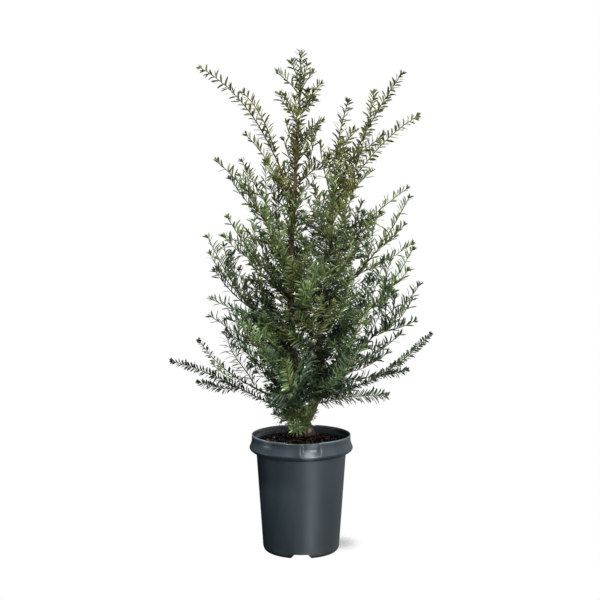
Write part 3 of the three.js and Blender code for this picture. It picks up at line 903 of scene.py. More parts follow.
    def build(self) -> None:
        """Build the pot in place of its node."""
        shell = self.shell()
        for cutter in self.cutters():
            cut = shell.modifiers.new("cut", "BOOLEAN")
            cut.operation = "DIFFERENCE"
            cut.solver = "EXACT"
            cut.object = cutter
        bpy.context.view_layer.update()
        mesh = bpy.data.meshes.new_from_object(shell.evaluated_get(bpy.context.evaluated_depsgraph_get()))
        for spent in [cut.object for cut in shell.modifiers]:
            bpy.data.objects.remove(spent)
        bpy.data.objects.remove(shell)
        pot = linked("pot_body", mesh)
        smooth_by_angle(pot, self.crease)
        dress(pot, ["pot"])


def smooth_by_angle(piece: Piece, degrees: float) -> None:
    """Shade a mesh smooth, with its sharp edges kept.

    Args:
        piece: The object.
        degrees: The least angle between faces at a sharp edge.
    """
    net = bmesh.new()
    net.from_mesh(piece.data)
    bmesh.ops.remove_doubles(net, verts=net.verts, dist=1e-6)
    for face in net.faces:
        face.smooth = True
    for edge in net.edges:
        edge.smooth = len(edge.link_faces) == 2 and edge.calc_face_angle(0.0) < math.radians(degrees)
    net.to_mesh(piece.data)
    net.free()


@dataclass(frozen=True)
class Bits:
    """One sort of bit on the compost: how many, how large, how flat, how narrow and how tilted."""

    count: int
    sizes: Span
    flat: float
    width: float
    tilt: float


@dataclass
class Compost:
    """The compost: an uneven dark surface, strewn with crumbs, chips of bark and fibres."""

    level: float = 247.6
    edge_level: float = 240.2
    flat_radius: float = 60.0
    radius: float = 98.4
    floor: float = 13.0
    floor_radius: float = 78.0
    rings: int = 70
    facets: int = 180
    cell: float = 7.0
    relief: float = 1.5
    crumb: Bits = Bits(2600, (1.0, 3.4), 1.0, 0.8, 180.0)
    chip: Bits = Bits(420, (3.0, 8.5), 0.28, 0.45, 28.0)
    tones: tuple[float, ...] = (0.5, 0.26, 0.16, 0.08)
    fibres: int = 120
    fibre_radius: float = 0.28
    seed: int = 5
    pile: MeshPile = field(default_factory=MeshPile)

    def height_at(self, x: Array, y: Array) -> Array:
        """Read the surface's height.

        Args:
            x: How far to the right.
            y: How far to the back.

        Returns:
            The height of each place.
        """
        at = np.stack([x / self.cell, y / self.cell, 0 * x], axis=-1)
        bumps = SolidNoise(self.seed).layered(at.reshape(-1, 3), 4).reshape(x.shape)
        slope = smooth_step(np.hypot(x, y), self.flat_radius, self.radius)
        return self.level + (self.edge_level - self.level) * slope + self.relief * bumps * (1 - 0.4 * slope)

    def bed(self) -> None:
        """Add the closed body of the compost."""
        around = np.arange(self.facets) * 2 * math.pi / self.facets
        reach = np.concatenate([np.full(1, self.floor_radius), np.linspace(self.radius, 0.6, self.rings)])
        x, y = reach[:, None] * np.cos(around), reach[:, None] * np.sin(around)
        z = self.height_at(x, y)
        z[0] = self.floor
        self.pile.add(*skin(np.stack([x, y, z], axis=-1)), 0)

    def strew(self) -> None:
        """Add the crumbs, the chips and the fibres that lie on it."""
        rng = np.random.default_rng(self.seed)
        kinds = [self.crumb] * self.crumb.count + [self.chip] * self.chip.count
        reach = (self.radius - 3) * np.sqrt(rng.random(len(kinds)))
        angle = rng.random(len(kinds)) * 2 * math.pi
        x, y = reach * np.cos(angle), reach * np.sin(angle)
        z = self.height_at(x, y)
        shapes = {kind: lump(kind.flat) for kind in (self.crumb, self.chip)}
        tones = rng.choice(len(self.tones), len(kinds), p=self.tones)
        for k, kind in enumerate(kinds):
            shape, faces = shapes[kind]
            low, high = kind.sizes
            size = low + (high - low) * rng.random() ** 2.2
            made = shape * (1 + 0.35 * rng.uniform(-1, 1, (len(shape), 1))) * size / 2
            made = made * np.array([1.0, kind.width, 1.0])
            made = made @ random_turn(rng, kind.tilt).T
            self.pile.add(made + [x[k], y[k], z[k] + 0.22 * size], faces, int(tones[k]) + 1)
        for _ in range(self.fibres):
            start = np.array([*(rng.uniform(-1, 1, 2) * self.radius * 0.66), 0.0])
            bend = rng.uniform(-1, 1, (2, 3)) * [9, 9, 0]
            line = Route.bezier([start, start + bend[0], start + bend[0] + bend[1]]).at(np.linspace(0, 1, 6))
            line[:, 2] = self.height_at(line[:, 0], line[:, 1]) + 0.7
            self.pile.add(*tube(line, np.full(6, self.fibre_radius), 4), 4)

    def build(self) -> None:
        """Build the compost in place of its node."""
        self.bed()
        self.strew()
        skins = [
            PlainSkin("compost_bed", (0.0012, 0.0010, 0.0009), 0.95, 0.5, 500.0, 0.0015, 0.05),
            PlainSkin("compost_dark", (0.0022, 0.0017, 0.0014), 0.92, 0.5, 700.0, 0.0006, 0.08),
            PlainSkin("compost_brown", (0.014, 0.0085, 0.0055), 0.92, 0.5, 700.0, 0.0006, 0.12),
            PlainSkin("bark_chip", (0.075, 0.038, 0.024), 0.85, 0.5, 600.0, 0.0005),
            PlainSkin("fibre", (0.16, 0.11, 0.075), 0.85, 0.4, 600.0, 0.0003),
        ]
        piece = self.pile.build("compost_surface", [finish.material() for finish in skins])
        dress(piece, ["soil"])


def lump(flat: float) -> tuple[Array, Indices]:
    """Make a small twenty-faced lump.

    Args:
        flat: Its thickness as a share of its width.

    Returns:
        The vertices, about one from the middle, and the triangles.
    """
    golden = (1 + math.sqrt(5)) / 2
    first = [(a, b * golden, 0) for a in (-1, 1) for b in (-1, 1)]
    turned = [(0, a, b) for a, b, _ in first] + [(b, 0, a) for a, b, _ in first]
    corners = unit(np.array(first + turned, float))
    apart = np.linalg.norm(corners[:, None] - corners[None], axis=-1)
    near = apart < apart[apart > 0.1].min() * 1.01
    faces = []
    for a, b, c in itertools.combinations(range(12), 3):
        if near[a, b] and near[b, c] and near[a, c]:
            outward = np.cross(corners[b] - corners[a], corners[c] - corners[a]) @ corners[a]
            faces.append((a, b, c) if outward > 0 else (a, c, b))
    return corners * [1, 1, flat], np.array(faces)


def random_turn(rng: np.random.Generator, tilt: float) -> Array:
    """Return a matrix that turns anywhere about Z and tilts by up to a number of degrees."""
    spin, lean, aim = rng.random() * 360, tilt * rng.uniform(-1, 1), rng.random() * 360
    return np.array([turned_about(turned_about(axis, UP, spin), level(aim), lean) for axis in np.eye(3)]).T


def tube(line: Array, radius: Array, sides: int, start_side: Array | None = None) -> tuple[Array, Indices]:
    """Stretch a round skin along a line.

    Args:
        line: Its middle, P by 3.
        radius: The radius at each point.
        sides: Points in each ring.
        start_side: The direction of each ring's first point, or None for any.

    Returns:
        The vertices and the triangles.
    """
    along = unit(np.gradient(line, axis=0))
    side = RIGHT if start_side is None else start_side
    if abs(along[0] @ unit(side)) > 0.9:
        side = np.cross(UP, RIGHT)
    sides_at = np.empty_like(line)
    for k, heading in enumerate(along):
        side = unit(side - heading * (side @ heading))
        sides_at[k] = side
    over = np.cross(along, sides_at)
    turn = np.arange(sides) * 2 * math.pi / sides
    ring = sides_at[:, None] * np.cos(turn)[:, None] + over[:, None] * np.sin(turn)[:, None]
    return skin(line[:, None] + ring * np.asarray(radius).reshape(len(line), -1, 1))


# ---------------- limbs


@dataclass
class Limb:
    """A tapering woody limb along a route, as in the source, with bark relief on its skin.

    collars holds where a branch leaves it, the branch's heading and the branch's radius. The cells are
    the relief's, in cells to a millimetre.
    """

    route: Route
    root_radius: float
    tip_radius: float
    flare: float = 0.0
    flare_height: float = 1.0
    lobes: int = 0
    lobe_depth: float = 0.0
    sides: int = 20
    ring_step: float = 2.4
    taper_power: float = 0.8
    relief: float = 0.10
    scale_cells: Place = (0.26, 0.26, 0.085)
    knot_cells: float = 0.05
    sunk: float = 0.0
    collars: list[tuple[float, Array, float]] = field(default_factory=list)

    def radius_at(self, share: Array | float) -> Array:
        """Return the radius at a share of the limb's way."""
        taper = self.root_radius + (self.tip_radius - self.root_radius) * share**self.taper_power
        return taper + self.flare * np.exp(-share * self.route.length / self.flare_height)

    def share_at_height(self, height: float) -> float:
        """Find where the limb reaches a height.

        Args:
            height: The height.

        Returns:
            The share of the limb's way.
        """
        low, high = 0.0, 1.0
        for _ in range(40):
            middle = (low + high) / 2
            if self.route.at(middle)[2] < height:
                low = middle
            else:
                high = middle
        return low

    def add_collar(self, share: float, outward: Array, radius: float) -> None:
        """Swell the skin where a branch of this heading and radius leaves it."""
        self.collars.append((share, unit(outward), radius))

    def skin(self, noise: SolidNoise) -> tuple[Array, Indices]:
        """Return the limb's skin with its bark relief.

        Args:
            noise: What the relief is read from.

        Returns:
            The vertices and the triangles.
        """
        count = max(8, round(self.route.length / self.ring_step))
        share = np.linspace(0, 1, count)
        line = self.route.at(share)
        line[0] -= UP * self.sunk
        plain, faces = tube(line, np.ones(count), self.sides)
        rings = plain[: count * self.sides].reshape(count, self.sides, 3)
        out = rings - line[:, None]
        turn = np.arctan2(out[..., 1], out[..., 0])
        lobe = self.lobe_depth * np.exp(-share * self.route.length / (2 * self.flare_height))
        radius = self.radius_at(share)[:, None] * (1 + lobe[:, None] * np.cos(self.lobes * turn))
        surface = line[:, None] + out * radius[..., None]
        at = (surface * self.scale_cells).reshape(-1, 3)
        scales = 1 - np.abs(noise.layered(at, 3))
        knots = noise.layered(surface.reshape(-1, 3) * self.knot_cells, 2)
        rough = (scales.reshape(radius.shape) - 0.62) * self.relief * np.sqrt(radius)
        rough += knots.reshape(radius.shape) * self.relief * 0.5 * radius**0.7
        for place, outward, size in self.collars:
            near = np.exp(-(((share - place) * self.route.length / (size * 1.9)) ** 2))[:, None]
            facing = np.clip(out @ outward, 0, 1) ** 2
            rough = rough + near * facing * size * 0.55
        surface = surface + out * rough[..., None]
        ends = [surface[0].mean(0)[None], surface[-1].mean(0)[None]]
        return np.vstack([surface.reshape(-1, 3), *ends]), faces


# ---------------- the plan of the crown


class Habit(Enum):
    """How the needles stand on a shoot."""

    FLAT = "two level ranks"
    COMBED = "two ranks raised into a V"
    EDGED = "one rank above and one beneath"
    ROUND = "all round"


@dataclass(frozen=True)
class Plan:
    """One main shoot of the crown, as the source states it.

    A shoot leaves its limb at a height, or at a share of a bough's way, or grows on from the limb's
    tip. rise is how steeply it sets out and ends, in degrees, and wood is its share of bare bough.
    """

    name: str
    height: float | None
    tip: Place
    rise: Span
    wood: float = 0.0
    twigs: int = 0
    share: float | None = None
    crossed: bool = False


@dataclass(frozen=True)
class Character:
    """What sets one mass apart: how its needles stand, their size and spacing, and how lit it is.

    size, step and broad are shares of the crown's own length, spacing and width of needles, sun is
    None where it follows from the place, single masses carry no twigs but the source's, and shade
    is how much darker a shoot is at its root.
    """

    habit: Habit = Habit.COMBED
    size: float = 1.0
    step: float = 1.0
    sun: float | None = None
    single: bool = False
    broad: float = 1.0
    shade: float = 0.0


UPPER_LEFT = Character(Habit.EDGED, 0.92, 0.74, 0.78, True, 1.15)
LEADER_SPRAY = Character(Habit.ROUND, 0.94, 0.66, 0.80)
ORDINARY = Character()
FRESH_LOOK = Character(Habit.FLAT, broad=0.8)
SKIRT_LOOK = Character(Habit.COMBED, step=0.95, broad=0.8, shade=0.7)
HEART_LOOK = Character(Habit.FLAT, 1.04, 1.08, broad=0.8, shade=1.8)
UPRIGHT_LOOK = Character(Habit.FLAT, 1.08, broad=0.85, shade=0.6)

CHARACTERS: dict[str, Character] = {
    "left_1": Character(Habit.EDGED, 0.60, 0.46, -0.30, True, 1.2),
    "left_2": Character(Habit.EDGED, 0.52, 0.80, 0.10, True),
    "left_comb": Character(Habit.EDGED, 1.12, 0.72, -0.10, True, 0.8),
    "left_7": Character(step=0.85, single=True),
    "left_9": Character(step=0.85, single=True),
    "left_10": UPPER_LEFT,
    "left_11": UPPER_LEFT,
    "right_1": Character(Habit.EDGED, 0.96, 0.42, 0.16, True, 1.1),
    "right_2": Character(Habit.EDGED, 0.54, 0.42, -0.30, True, 1.25),
    "right_9": Character(Habit.EDGED, 0.84, 0.62, 0.74, True, 1.15),
    "right_10": Character(Habit.ROUND, step=0.7, single=True),
    "right_top": Character(Habit.ROUND, 0.94, 0.62, 0.80, True, 1.1),
    "front_1": Character(Habit.ROUND, 0.96, 0.50, 0.60, broad=0.72),
    "front_2": Character(Habit.FLAT, 0.95, sun=0.06),
    "back_1": Character(Habit.FLAT),
    "leader_1": LEADER_SPRAY,
    "leader_2": LEADER_SPRAY,
    "leader_3": LEADER_SPRAY,
    "leader_top": Character(Habit.ROUND, 0.9, 0.6, 0.80, True),
}

TRUNK_ROUTE = (
    (15, 44, 249.3), (13, 39, 266), (4, 30, 294), (-8, 17, 335), (-17, 0, 450), (-22, -2, 600),
    (-19, 2, 729), (-13, 0, 812), (-12, 0, 879), (-5, 0, 961), (-3, 0, 1010),
)  # fmt: skip
CO_LEADER_ROUTE = (
    (9, 36, 276), (22, 29, 296), (33, 20, 330), (38, 11, 390), (45, 6, 500), (55, 6, 610),
    (67, 3, 690), (64, 2, 748), (74, 0, 790), (91, 0, 829),
)  # fmt: skip

PLANS: dict[str, tuple[Plan, ...]] = {
    "trunk": (
        Plan("left_1", 290, (-289, 20, 419), (20, 14), wood=0.3, twigs=1),
        Plan("left_2", 306, (-218, -90, 479), (30, 56), wood=0.46, twigs=1),
        Plan("left_3", 395, (-194, -58, 526), (38, 34), wood=0.34, twigs=3),
        Plan("left_4", 440, (-205, 90, 552), (46, 20), twigs=4),
        Plan("left_5", 470, (-203, -20, 695), (30, 64), wood=0.36, twigs=3),
        Plan("left_6", 560, (-158, -70, 740), (44, 56), wood=0.3, twigs=4),
        Plan("left_7", 648, (-180, -48, 858), (50, 38), wood=0.3, twigs=3),
        Plan("left_8", 690, (-132, 60, 865), (48, 60), twigs=3),
        Plan("left_9", 752, (-119, -30, 916), (62, 42), twigs=1),
        Plan("left_10", 778, (-224, 40, 1069), (66, 30), wood=0.26),
        Plan("inner_right", 806, (121, 60, 930), (42, 46), twigs=2),
        Plan("front_1", 262, (-16, -112, 292), (24, 4), twigs=2),
        Plan("front_2", 330, (-30, -250, 452), (18, 46), wood=0.3, twigs=3),
        Plan("front_3", 378, (-122, -186, 520), (32, 48), twigs=4),
        Plan("front_5", 505, (32, -182, 640), (28, 52), wood=0.24, twigs=4),
        Plan("front_6", 600, (-78, -146, 748), (40, 52), twigs=4),
        Plan("back_1", 320, (22, 252, 420), (16, 40), wood=0.3, twigs=5),
        Plan("back_2", 360, (-138, 206, 486), (30, 42), twigs=4),
        Plan("back_4", 530, (-52, 196, 668), (30, 50), wood=0.24, twigs=4),
        Plan("back_6", 710, (-30, 122, 862), (42, 60), twigs=3),
        Plan("leader_1", 905, (44, 14, 950), (46, 34)),
        Plan("leader_2", 935, (-34, -22, 1000), (66, 56)),
        Plan("leader_3", 960, (42, -10, 1028), (50, 44), twigs=1),
        Plan("leader_top", None, (0, 0, 1098), (89, 89), twigs=2, crossed=True),
    ),
    "co_leader": (
        Plan("right_1", 322, (192, 60, 334), (10, -6), twigs=1),
        Plan("right_2", 336, (284, -20, 484), (12, 47), wood=0.3, twigs=1),
        Plan("right_3", 366, (212, -80, 490), (24, 40), twigs=3),
        Plan("right_4", 392, (263, 30, 588), (30, 56), wood=0.34, twigs=3),
        Plan("right_5", 468, (236, -90, 672), (22, 60), wood=0.34, twigs=4),
        Plan("right_6", 556, (230, -58, 781), (34, 62), wood=0.24, twigs=3),
        Plan("right_7", 636, (234, 42, 802), (52, 36), twigs=3),
        Plan("right_8", 716, (161, 108, 843), (58, 30), twigs=3),
        Plan("right_9", 766, (248, -50, 955), (48, 30), twigs=1),
        Plan("right_10", 798, (100, -42, 986), (96, 58), twigs=1),
        Plan("right_top", None, (221, 20, 1053), (62, 54), twigs=2),
        Plan("front_4", 352, (122, -196, 476), (22, 46), twigs=4),
        Plan("front_7", 660, (70, -116, 838), (38, 62), twigs=4),
        Plan("back_3", 412, (146, 204, 530), (26, 44), twigs=4),
        Plan("back_5", 600, (98, 168, 742), (32, 54), twigs=4),
    ),
    "bough_left_2": (Plan("left_comb", None, (-160, -62, 486), (66, 80), share=0.9),),
    "bough_left_10": (Plan("left_11", None, (-125, -8, 1009), (74, 46), share=0.9),),
}


@dataclass(frozen=True)
class InnerShoots:
    """One sort of short shoot inside the crown: what it leaves and where, how it looks and climbs.

    step is the mean way between them, and sun is added to the place's own. lift is how far a tip
    rises and roll how far the needles' side turns, and sway how far a shoot bends to a side.
    """

    limb: str
    low: float
    high: float
    step: float
    first_turn: float
    look: Character
    sun: float
    lift: float
    rise: Span
    roll: float
    sway: float


HANDLE_SHARE = 0.38
Row = tuple[str, float, Place, Span]

SPRIGS: tuple[Row, ...] = (
    ("trunk", 1000, (-51, -6, 1050), (62, 34)),
    ("trunk", 1004, (24, 8, 1052), (70, 50)),
    ("trunk", 958, (28, -16, 992), (44, 50)),
    ("trunk", 950, (-14, 34, 1002), (48, 62)),
    ("trunk", 905, (-10, -34, 962), (52, 70)),
    ("trunk", 893, (33, -14, 930), (40, 46)),
    ("trunk", 880, (-33, 12, 946), (60, 72)),
    ("trunk", 862, (12, 38, 920), (50, 66)),
    ("trunk", 852, (24, -20, 902), (60, 62)),
    ("trunk", 838, (-38, -24, 906), (56, 66)),
    ("trunk", 820, (-8, 44, 886), (46, 66)),
    ("trunk", 800, (30, 16, 862), (54, 62)),
    ("trunk", 786, (-40, 20, 852), (54, 66)),
    ("trunk", 775, (30, -24, 824), (44, 56)),
    ("trunk", 762, (-44, -20, 818), (50, 60)),
    ("trunk", 748, (2, -38, 800), (56, 66)),
    ("trunk", 735, (-34, -34, 786), (56, 62)),
    ("trunk", 716, (-10, -46, 770), (46, 66)),
    ("trunk", 700, (-38, -40, 752), (44, 60)),
    ("trunk", 690, (8, -50, 738), (44, 60)),
    ("co_leader", 742, (41, -22, 898), (100, 88)),
    ("co_leader", 756, (76, -34, 850), (78, 74)),
    ("co_leader", 768, (96, -44, 866), (66, 70)),
    ("co_leader", 780, (60, 26, 872), (84, 78)),
    ("co_leader", 788, (114, -24, 846), (44, 60)),
    ("co_leader", 796, (92, 34, 884), (70, 70)),
    ("co_leader", 806, (124, 8, 880), (52, 58)),
    ("co_leader", 815, (84, -30, 894), (88, 74)),
    ("co_leader", 740, (26, 18, 806), (56, 66)),
    ("co_leader", 730, (112, 24, 800), (40, 58)),
    ("co_leader", 722, (30, -40, 790), (50, 66)),
)
SKIRT: tuple[Row, ...] = (
    ("trunk", 268, (-42, -36, 296), (30, 5)),
    ("trunk", 276, (-34, -62, 304), (25, 5)),
    ("trunk", 284, (-14, -76, 312), (28, 8)),
    ("trunk", 292, (-52, -30, 322), (34, 16)),
    ("trunk", 300, (-44, -64, 336), (30, 14)),
    ("trunk", 308, (-6, -84, 342), (30, 14)),
    ("trunk", 316, (-66, -20, 350), (36, 24)),
    ("trunk", 322, (-32, -88, 366), (34, 22)),
    ("trunk", 330, (16, -84, 362), (30, 18)),
    ("trunk", 338, (-66, -58, 388), (38, 30)),
    ("trunk", 326, (-54, 46, 350), (30, 20)),
    ("co_leader", 326, (58, -62, 352), (26, 14)),
    ("co_leader", 336, (88, -40, 366), (24, 14)),
    ("co_leader", 344, (66, -84, 388), (30, 20)),
    ("co_leader", 332, (84, 34, 358), (20, 10)),
    ("co_leader", 350, (36, -88, 380), (34, 20)),
)
FRESH_SHOOTS: tuple[tuple[Row, float], ...] = (
    (("co_leader", 382, (138, -144, 556), (30, 54)), 0.60),
    (("co_leader", 480, (102, -140, 628), (22, 72)), 0.60),
    (("trunk", 535, (14, -134, 660), (24, 80)), 0.56),
    (("trunk", 560, (-116, -82, 674), (34, 66)), 0.60),
)
CLOTHED = (
    ("trunk", 842, 968, 0.34),
    ("trunk", 968, 1010, 0.8),
    ("trunk", 790, 842, 0.45),
    ("trunk", 700, 740, 0.5),
    ("trunk", 740, 790, 1.0),
    ("co_leader", 722, 829, 0.6),
)
HEART = (
    InnerShoots("trunk", 318, 720, 9.8, 40, HEART_LOOK, -0.04, 0.5, (29, 51), 40, 0),
    InnerShoots("co_leader", 322, 700, 9.8, 40, HEART_LOOK, -0.04, 0.5, (29, 51), 40, 0),
    InnerShoots("trunk", 300, 600, 34.0, 200, UPRIGHT_LOOK, 0.34, 0.95, (24, 66), 30, 40),
    InnerShoots("co_leader", 330, 590, 40.0, 110, UPRIGHT_LOOK, 0.34, 0.95, (24, 66), 30, 40),
)
HEART_REACH = ((262.0, 330.0, 420.0, 600.0, 720.0), (55.0, 95.0, 140.0, 130.0, 80.0))
SKIRT_SUN = ((286.0, 306.0), (0.46, -0.04))
SPRAY_SUN = 1.2


@dataclass(frozen=True)
class TwigRule:
    """The seeded rule by which side twigs leave a stem, with the source's values.

    Lengths are in millimetres and angles in degrees. reach is a twig's length as a share of what is
    left of the stem above it.
    """

    root_radius: float = 1.15
    tip_radius: float = 0.7
    angle: float = 34.0
    angle_spread: float = 9.0
    reach: float = 0.52
    reach_spread: float = 0.25
    longest: float = 125.0
    shortest: float = 24.0
    lift: float = 14.0
    lift_spread: float = 10.0
    forward: float = 0.08
    roll: float = 24.0


FINE_TWIG = TwigRule(1.0, 0.6, 36, 9, 0.50, 0.35, 105, 36, 24, 10, 0.06, 30)
FINEST_TWIG = TwigRule(0.8, 0.5, 38, 10, 0.55, 0.35, 60, 26, 18, 10, 0.05, 34)
SHORT_TWIG = TwigRule(0.8, 0.5, 48, 10, 0.55, 0.35, 80, 34, 14, 12, 0.05, 30)


@dataclass(frozen=True)
class Twigging:
    """How fine twigs stand along a stem: their rule, the mean way between them, and where.

    The stretch is in shares of the stem. length is a fixed mean length, or None for the rule's own.
    """

    rule: TwigRule
    step: float
    stretch: Span
    length: float | None = None


@dataclass
class Shoot:
    """A green shoot: its route, the side its needles stand out to, and how old and how lit it is.

    bare is the share at its root without needles. A clad one has needles and no skin of its own.
    """

    route: Route
    side: Array
    root_radius: float
    tip_radius: float
    zone: str
    order: int = 0
    look: Character = ORDINARY
    sun: float = 0.5
    bare: float = 0.0
    clad: bool = False

    def frame_at(self, share: Array | float) -> tuple[Array, Array, Array, Array]:
        """Read the shoot at a share of its length.

        Args:
            share: The share.

        Returns:
            The place, the heading, the side and the upper direction.
        """
        at, along = self.route.at(share), self.route.heading(share)
        side = unit(self.side - along * (along @ self.side)[..., None])
        return at, along, side, np.cross(side, along)

    def radius_at(self, share: Array | float) -> Array:
        """Return the stem's radius at a share of the length."""
        return self.root_radius + (self.tip_radius - self.root_radius) * np.asarray(share)


def shoot_route(start: Array, tip: Array, rise: Span) -> Route:
    """Draw the way of a shoot, setting out and ending at the stated rises.

    Args:
        start: Where it leaves its limb.
        tip: Where it ends.
        rise: How steeply it sets out and ends, in degrees above level.

    Returns:
        The route.
    """
    outward = unit((tip - start) * [1, 1, 0])
    handle = HANDLE_SHARE * float(np.linalg.norm(tip - start))
    out, back = (outward * math.cos(math.radians(a)) + UP * math.sin(math.radians(a)) for a in rise)
    return Route.bezier([start, start + out * handle, tip - back * handle, tip])


def side_twig(stem: Shoot, share: float, hand: int, rule: TwigRule, draws: Sequence[float]) -> Shoot:
    """Grow one side twig.

    Args:
        stem: What it leaves.
        share: Where on the stem.
        hand: 1 for the stem's side, -1 for the other.
        rule: Its sizes and angles.
        draws: Numbers from -1 to 1 for its angle, lift, length and roll.

    Returns:
        The twig.
    """
    at, along, side, over = stem.frame_at(share)
    angle = math.radians(rule.angle + rule.angle_spread * draws[0])
    lift = math.radians(rule.lift + rule.lift_spread * draws[1])
    left = stem.route.length * (1 - share) * rule.reach * (1 + rule.reach_spread * draws[2])
    length = min(max(left, rule.shortest), rule.longest)
    along_lean, side_lean = along * math.cos(angle), side * hand * math.sin(angle)
    outward = along_lean + side_lean
    tip = at + outward * length * math.cos(lift) + along * length * rule.forward
    tip = tip + UP * length * math.sin(lift)
    flat = turned_about(unit(np.cross(over, outward)), unit(outward), rule.roll * draws[3])
    route = Route.bezier([at, at + outward * length * 0.5, tip])
    radii = rule.root_radius, rule.tip_radius
    return Shoot(route, flat, *radii, stem.zone, stem.order + 1, stem.look, stem.sun)


@dataclass
class Crown:
    """The limbs and every shoot of the crown, grown from the plan.

    The radii are a stem's at its root and its tip. The sun picks lighter or darker needle tones, as
    painted light and shade and fresher growth high up. It rises with height up to its value at the
    top, is raised in front of the middle, and is lowered low down on the right.
    """

    first_seed: int = 101
    seed_step: int = 37
    fresh_seed: int = 611
    skirt_seed: int = 1319
    inner_seed: int = 977
    tip_gap: float = 0.5
    gap: float = 0.3
    stem_roll: float = 42.0
    stem_roll_spread: float = 18.0
    pitch: float = 20.0
    bough_root_share: float = 0.55
    bough_root_most: float = 4.4
    bough_tip: float = 1.7
    green_collar: float = 2.0
    stem_radii: Span = (1.5, 0.9)
    clad_radii: Span = (2.4, 1.7)
    clad_from: float = 0.18
    wood_radii: Span = (1.7, 1.5)
    wood_from: float = 0.08
    sprig_radii: Span = (1.2, 0.8)
    sprig_bare: float = 0.04
    fresh_radii: Span = (1.4, 0.8)
    fresh_bare: float = 0.06
    skirt_radii: Span = (1.1, 0.7)
    skirt_bare: float = 0.12
    inner_radii: Span = (1.15, 0.7)
    inner_bare: float = 0.08
    inner_lengths: Span = (0.65, 1.15)
    twig: TwigRule = TwigRule()
    twig_reach: float = 0.62
    twigged_from: float = 64.0
    on_stems: Twigging = Twigging(FINE_TWIG, 44.0, (0.04, 0.45))
    on_twigs: Twigging = Twigging(FINEST_TWIG, 40.0, (0.12, 0.45))
    on_boughs: Twigging = Twigging(SHORT_TWIG, 19.0, (0.2, 1.0), 62.0)
    on_fresh: Twigging = Twigging(SHORT_TWIG, 44.0, (0.4, 0.85), 44.0)
    on_skirt: Twigging = Twigging(SHORT_TWIG, 15.0, (0.25, 0.8), 40.0)
    on_inner: Twigging = Twigging(SHORT_TWIG, 24.0, (0.15, 0.8))
    sun_heights: Span = (380.0, 960.0)
    sun_top: float = 0.9
    sun_front: float = 0.34
    sun_front_most: float = 0.56
    # Painted shade: needles low down on the right are dealt darker tones.
    sun_right: float = 0.12
    limbs: dict[str, Limb] = field(default_factory=dict)
    shoots: list[Shoot] = field(default_factory=list)

    def grow(self) -> None:
        """Grow the limbs, the main shoots, their twigs and all the shorter shoots."""
        self.limbs["trunk"] = Limb(
            Route.through(TRUNK_ROUTE), 10.5, 2.0, flare=6.0, flare_height=16.0,
            lobes=3, lobe_depth=0.14, sides=44, ring_step=1.8, sunk=3.0,
        )  # fmt: skip
        co_leader = Route.through(CO_LEADER_ROUTE)
        self.limbs["co_leader"] = Limb(co_leader, 7.5, 2.0, sides=32, ring_step=1.8)
        rows = [(limb_name, plan) for limb_name, plans in PLANS.items() for plan in plans]
        for index, (limb_name, plan) in enumerate(rows):
            self.main_shoot(self.limbs[limb_name], plan, self.first_seed + self.seed_step * index)
        self.sprigs()
        self.fresh_shoots()
        self.clothed_limbs()
        self.skirt()
        self.inner_shoots()

    def main_shoot(self, limb: Limb, plan: Plan, seed: int) -> None:
        """Grow one main shoot with its bough and its twigs.

        Args:
            limb: What it leaves.
            plan: Its row in the plan.
            seed: What fixes its twigs.
        """
        if plan.height is not None:
            share = limb.share_at_height(plan.height)
        else:
            share = 1.0 if plan.share is None else plan.share
        start = limb.route.at(share)
        if share == 1.0:
            start = start + limb.route.heading(1.0) * self.tip_gap
        route = shoot_route(start, np.array(plan.tip, float), plan.rise)
        leave = 0.0 if share == 1.0 else self.clear_of(limb, share, route)
        root_radius = min(self.bough_root_most, float(limb.radius_at(share)) * self.bough_root_share)
        if share < 1.0:
            collar = root_radius if plan.wood else self.green_collar
            limb.add_collar(share, route.heading(0.02), collar)
        if plan.wood:
            name = f"bough_{plan.name}"
            self.limbs[name] = Limb(route.part(0, plan.wood), root_radius, self.bough_tip, sides=16)
            leave = plan.wood + self.tip_gap / route.length
        self.green_shoot(plan, route.part(leave, 1.0), SeededStream(seed), route if plan.wood else None)

    def clear_of(self, limb: Limb, share: float, route: Route) -> float:
        """Find where a stem is clear of the limb that it leaves.

        Args:
            limb: What it leaves.
            share: Where on the limb's way.
            route: The stem's own way.

        Returns:
            The share of the stem's way.
        """
        steps = np.arange(Route.SAMPLES) / Route.SAMPLES
        axis = limb.route.heading(share)
        slant = np.abs(route.heading(steps) @ axis)
        offset = route.at(steps) - limb.route.at(share)
        distance = np.linalg.norm(offset - (offset @ axis)[:, None] * axis, axis=1)
        room = float(limb.radius_at(share)) + self.gap + self.stem_radii[0] * (1 + slant)
        return float(steps[np.argmax(distance > room)])

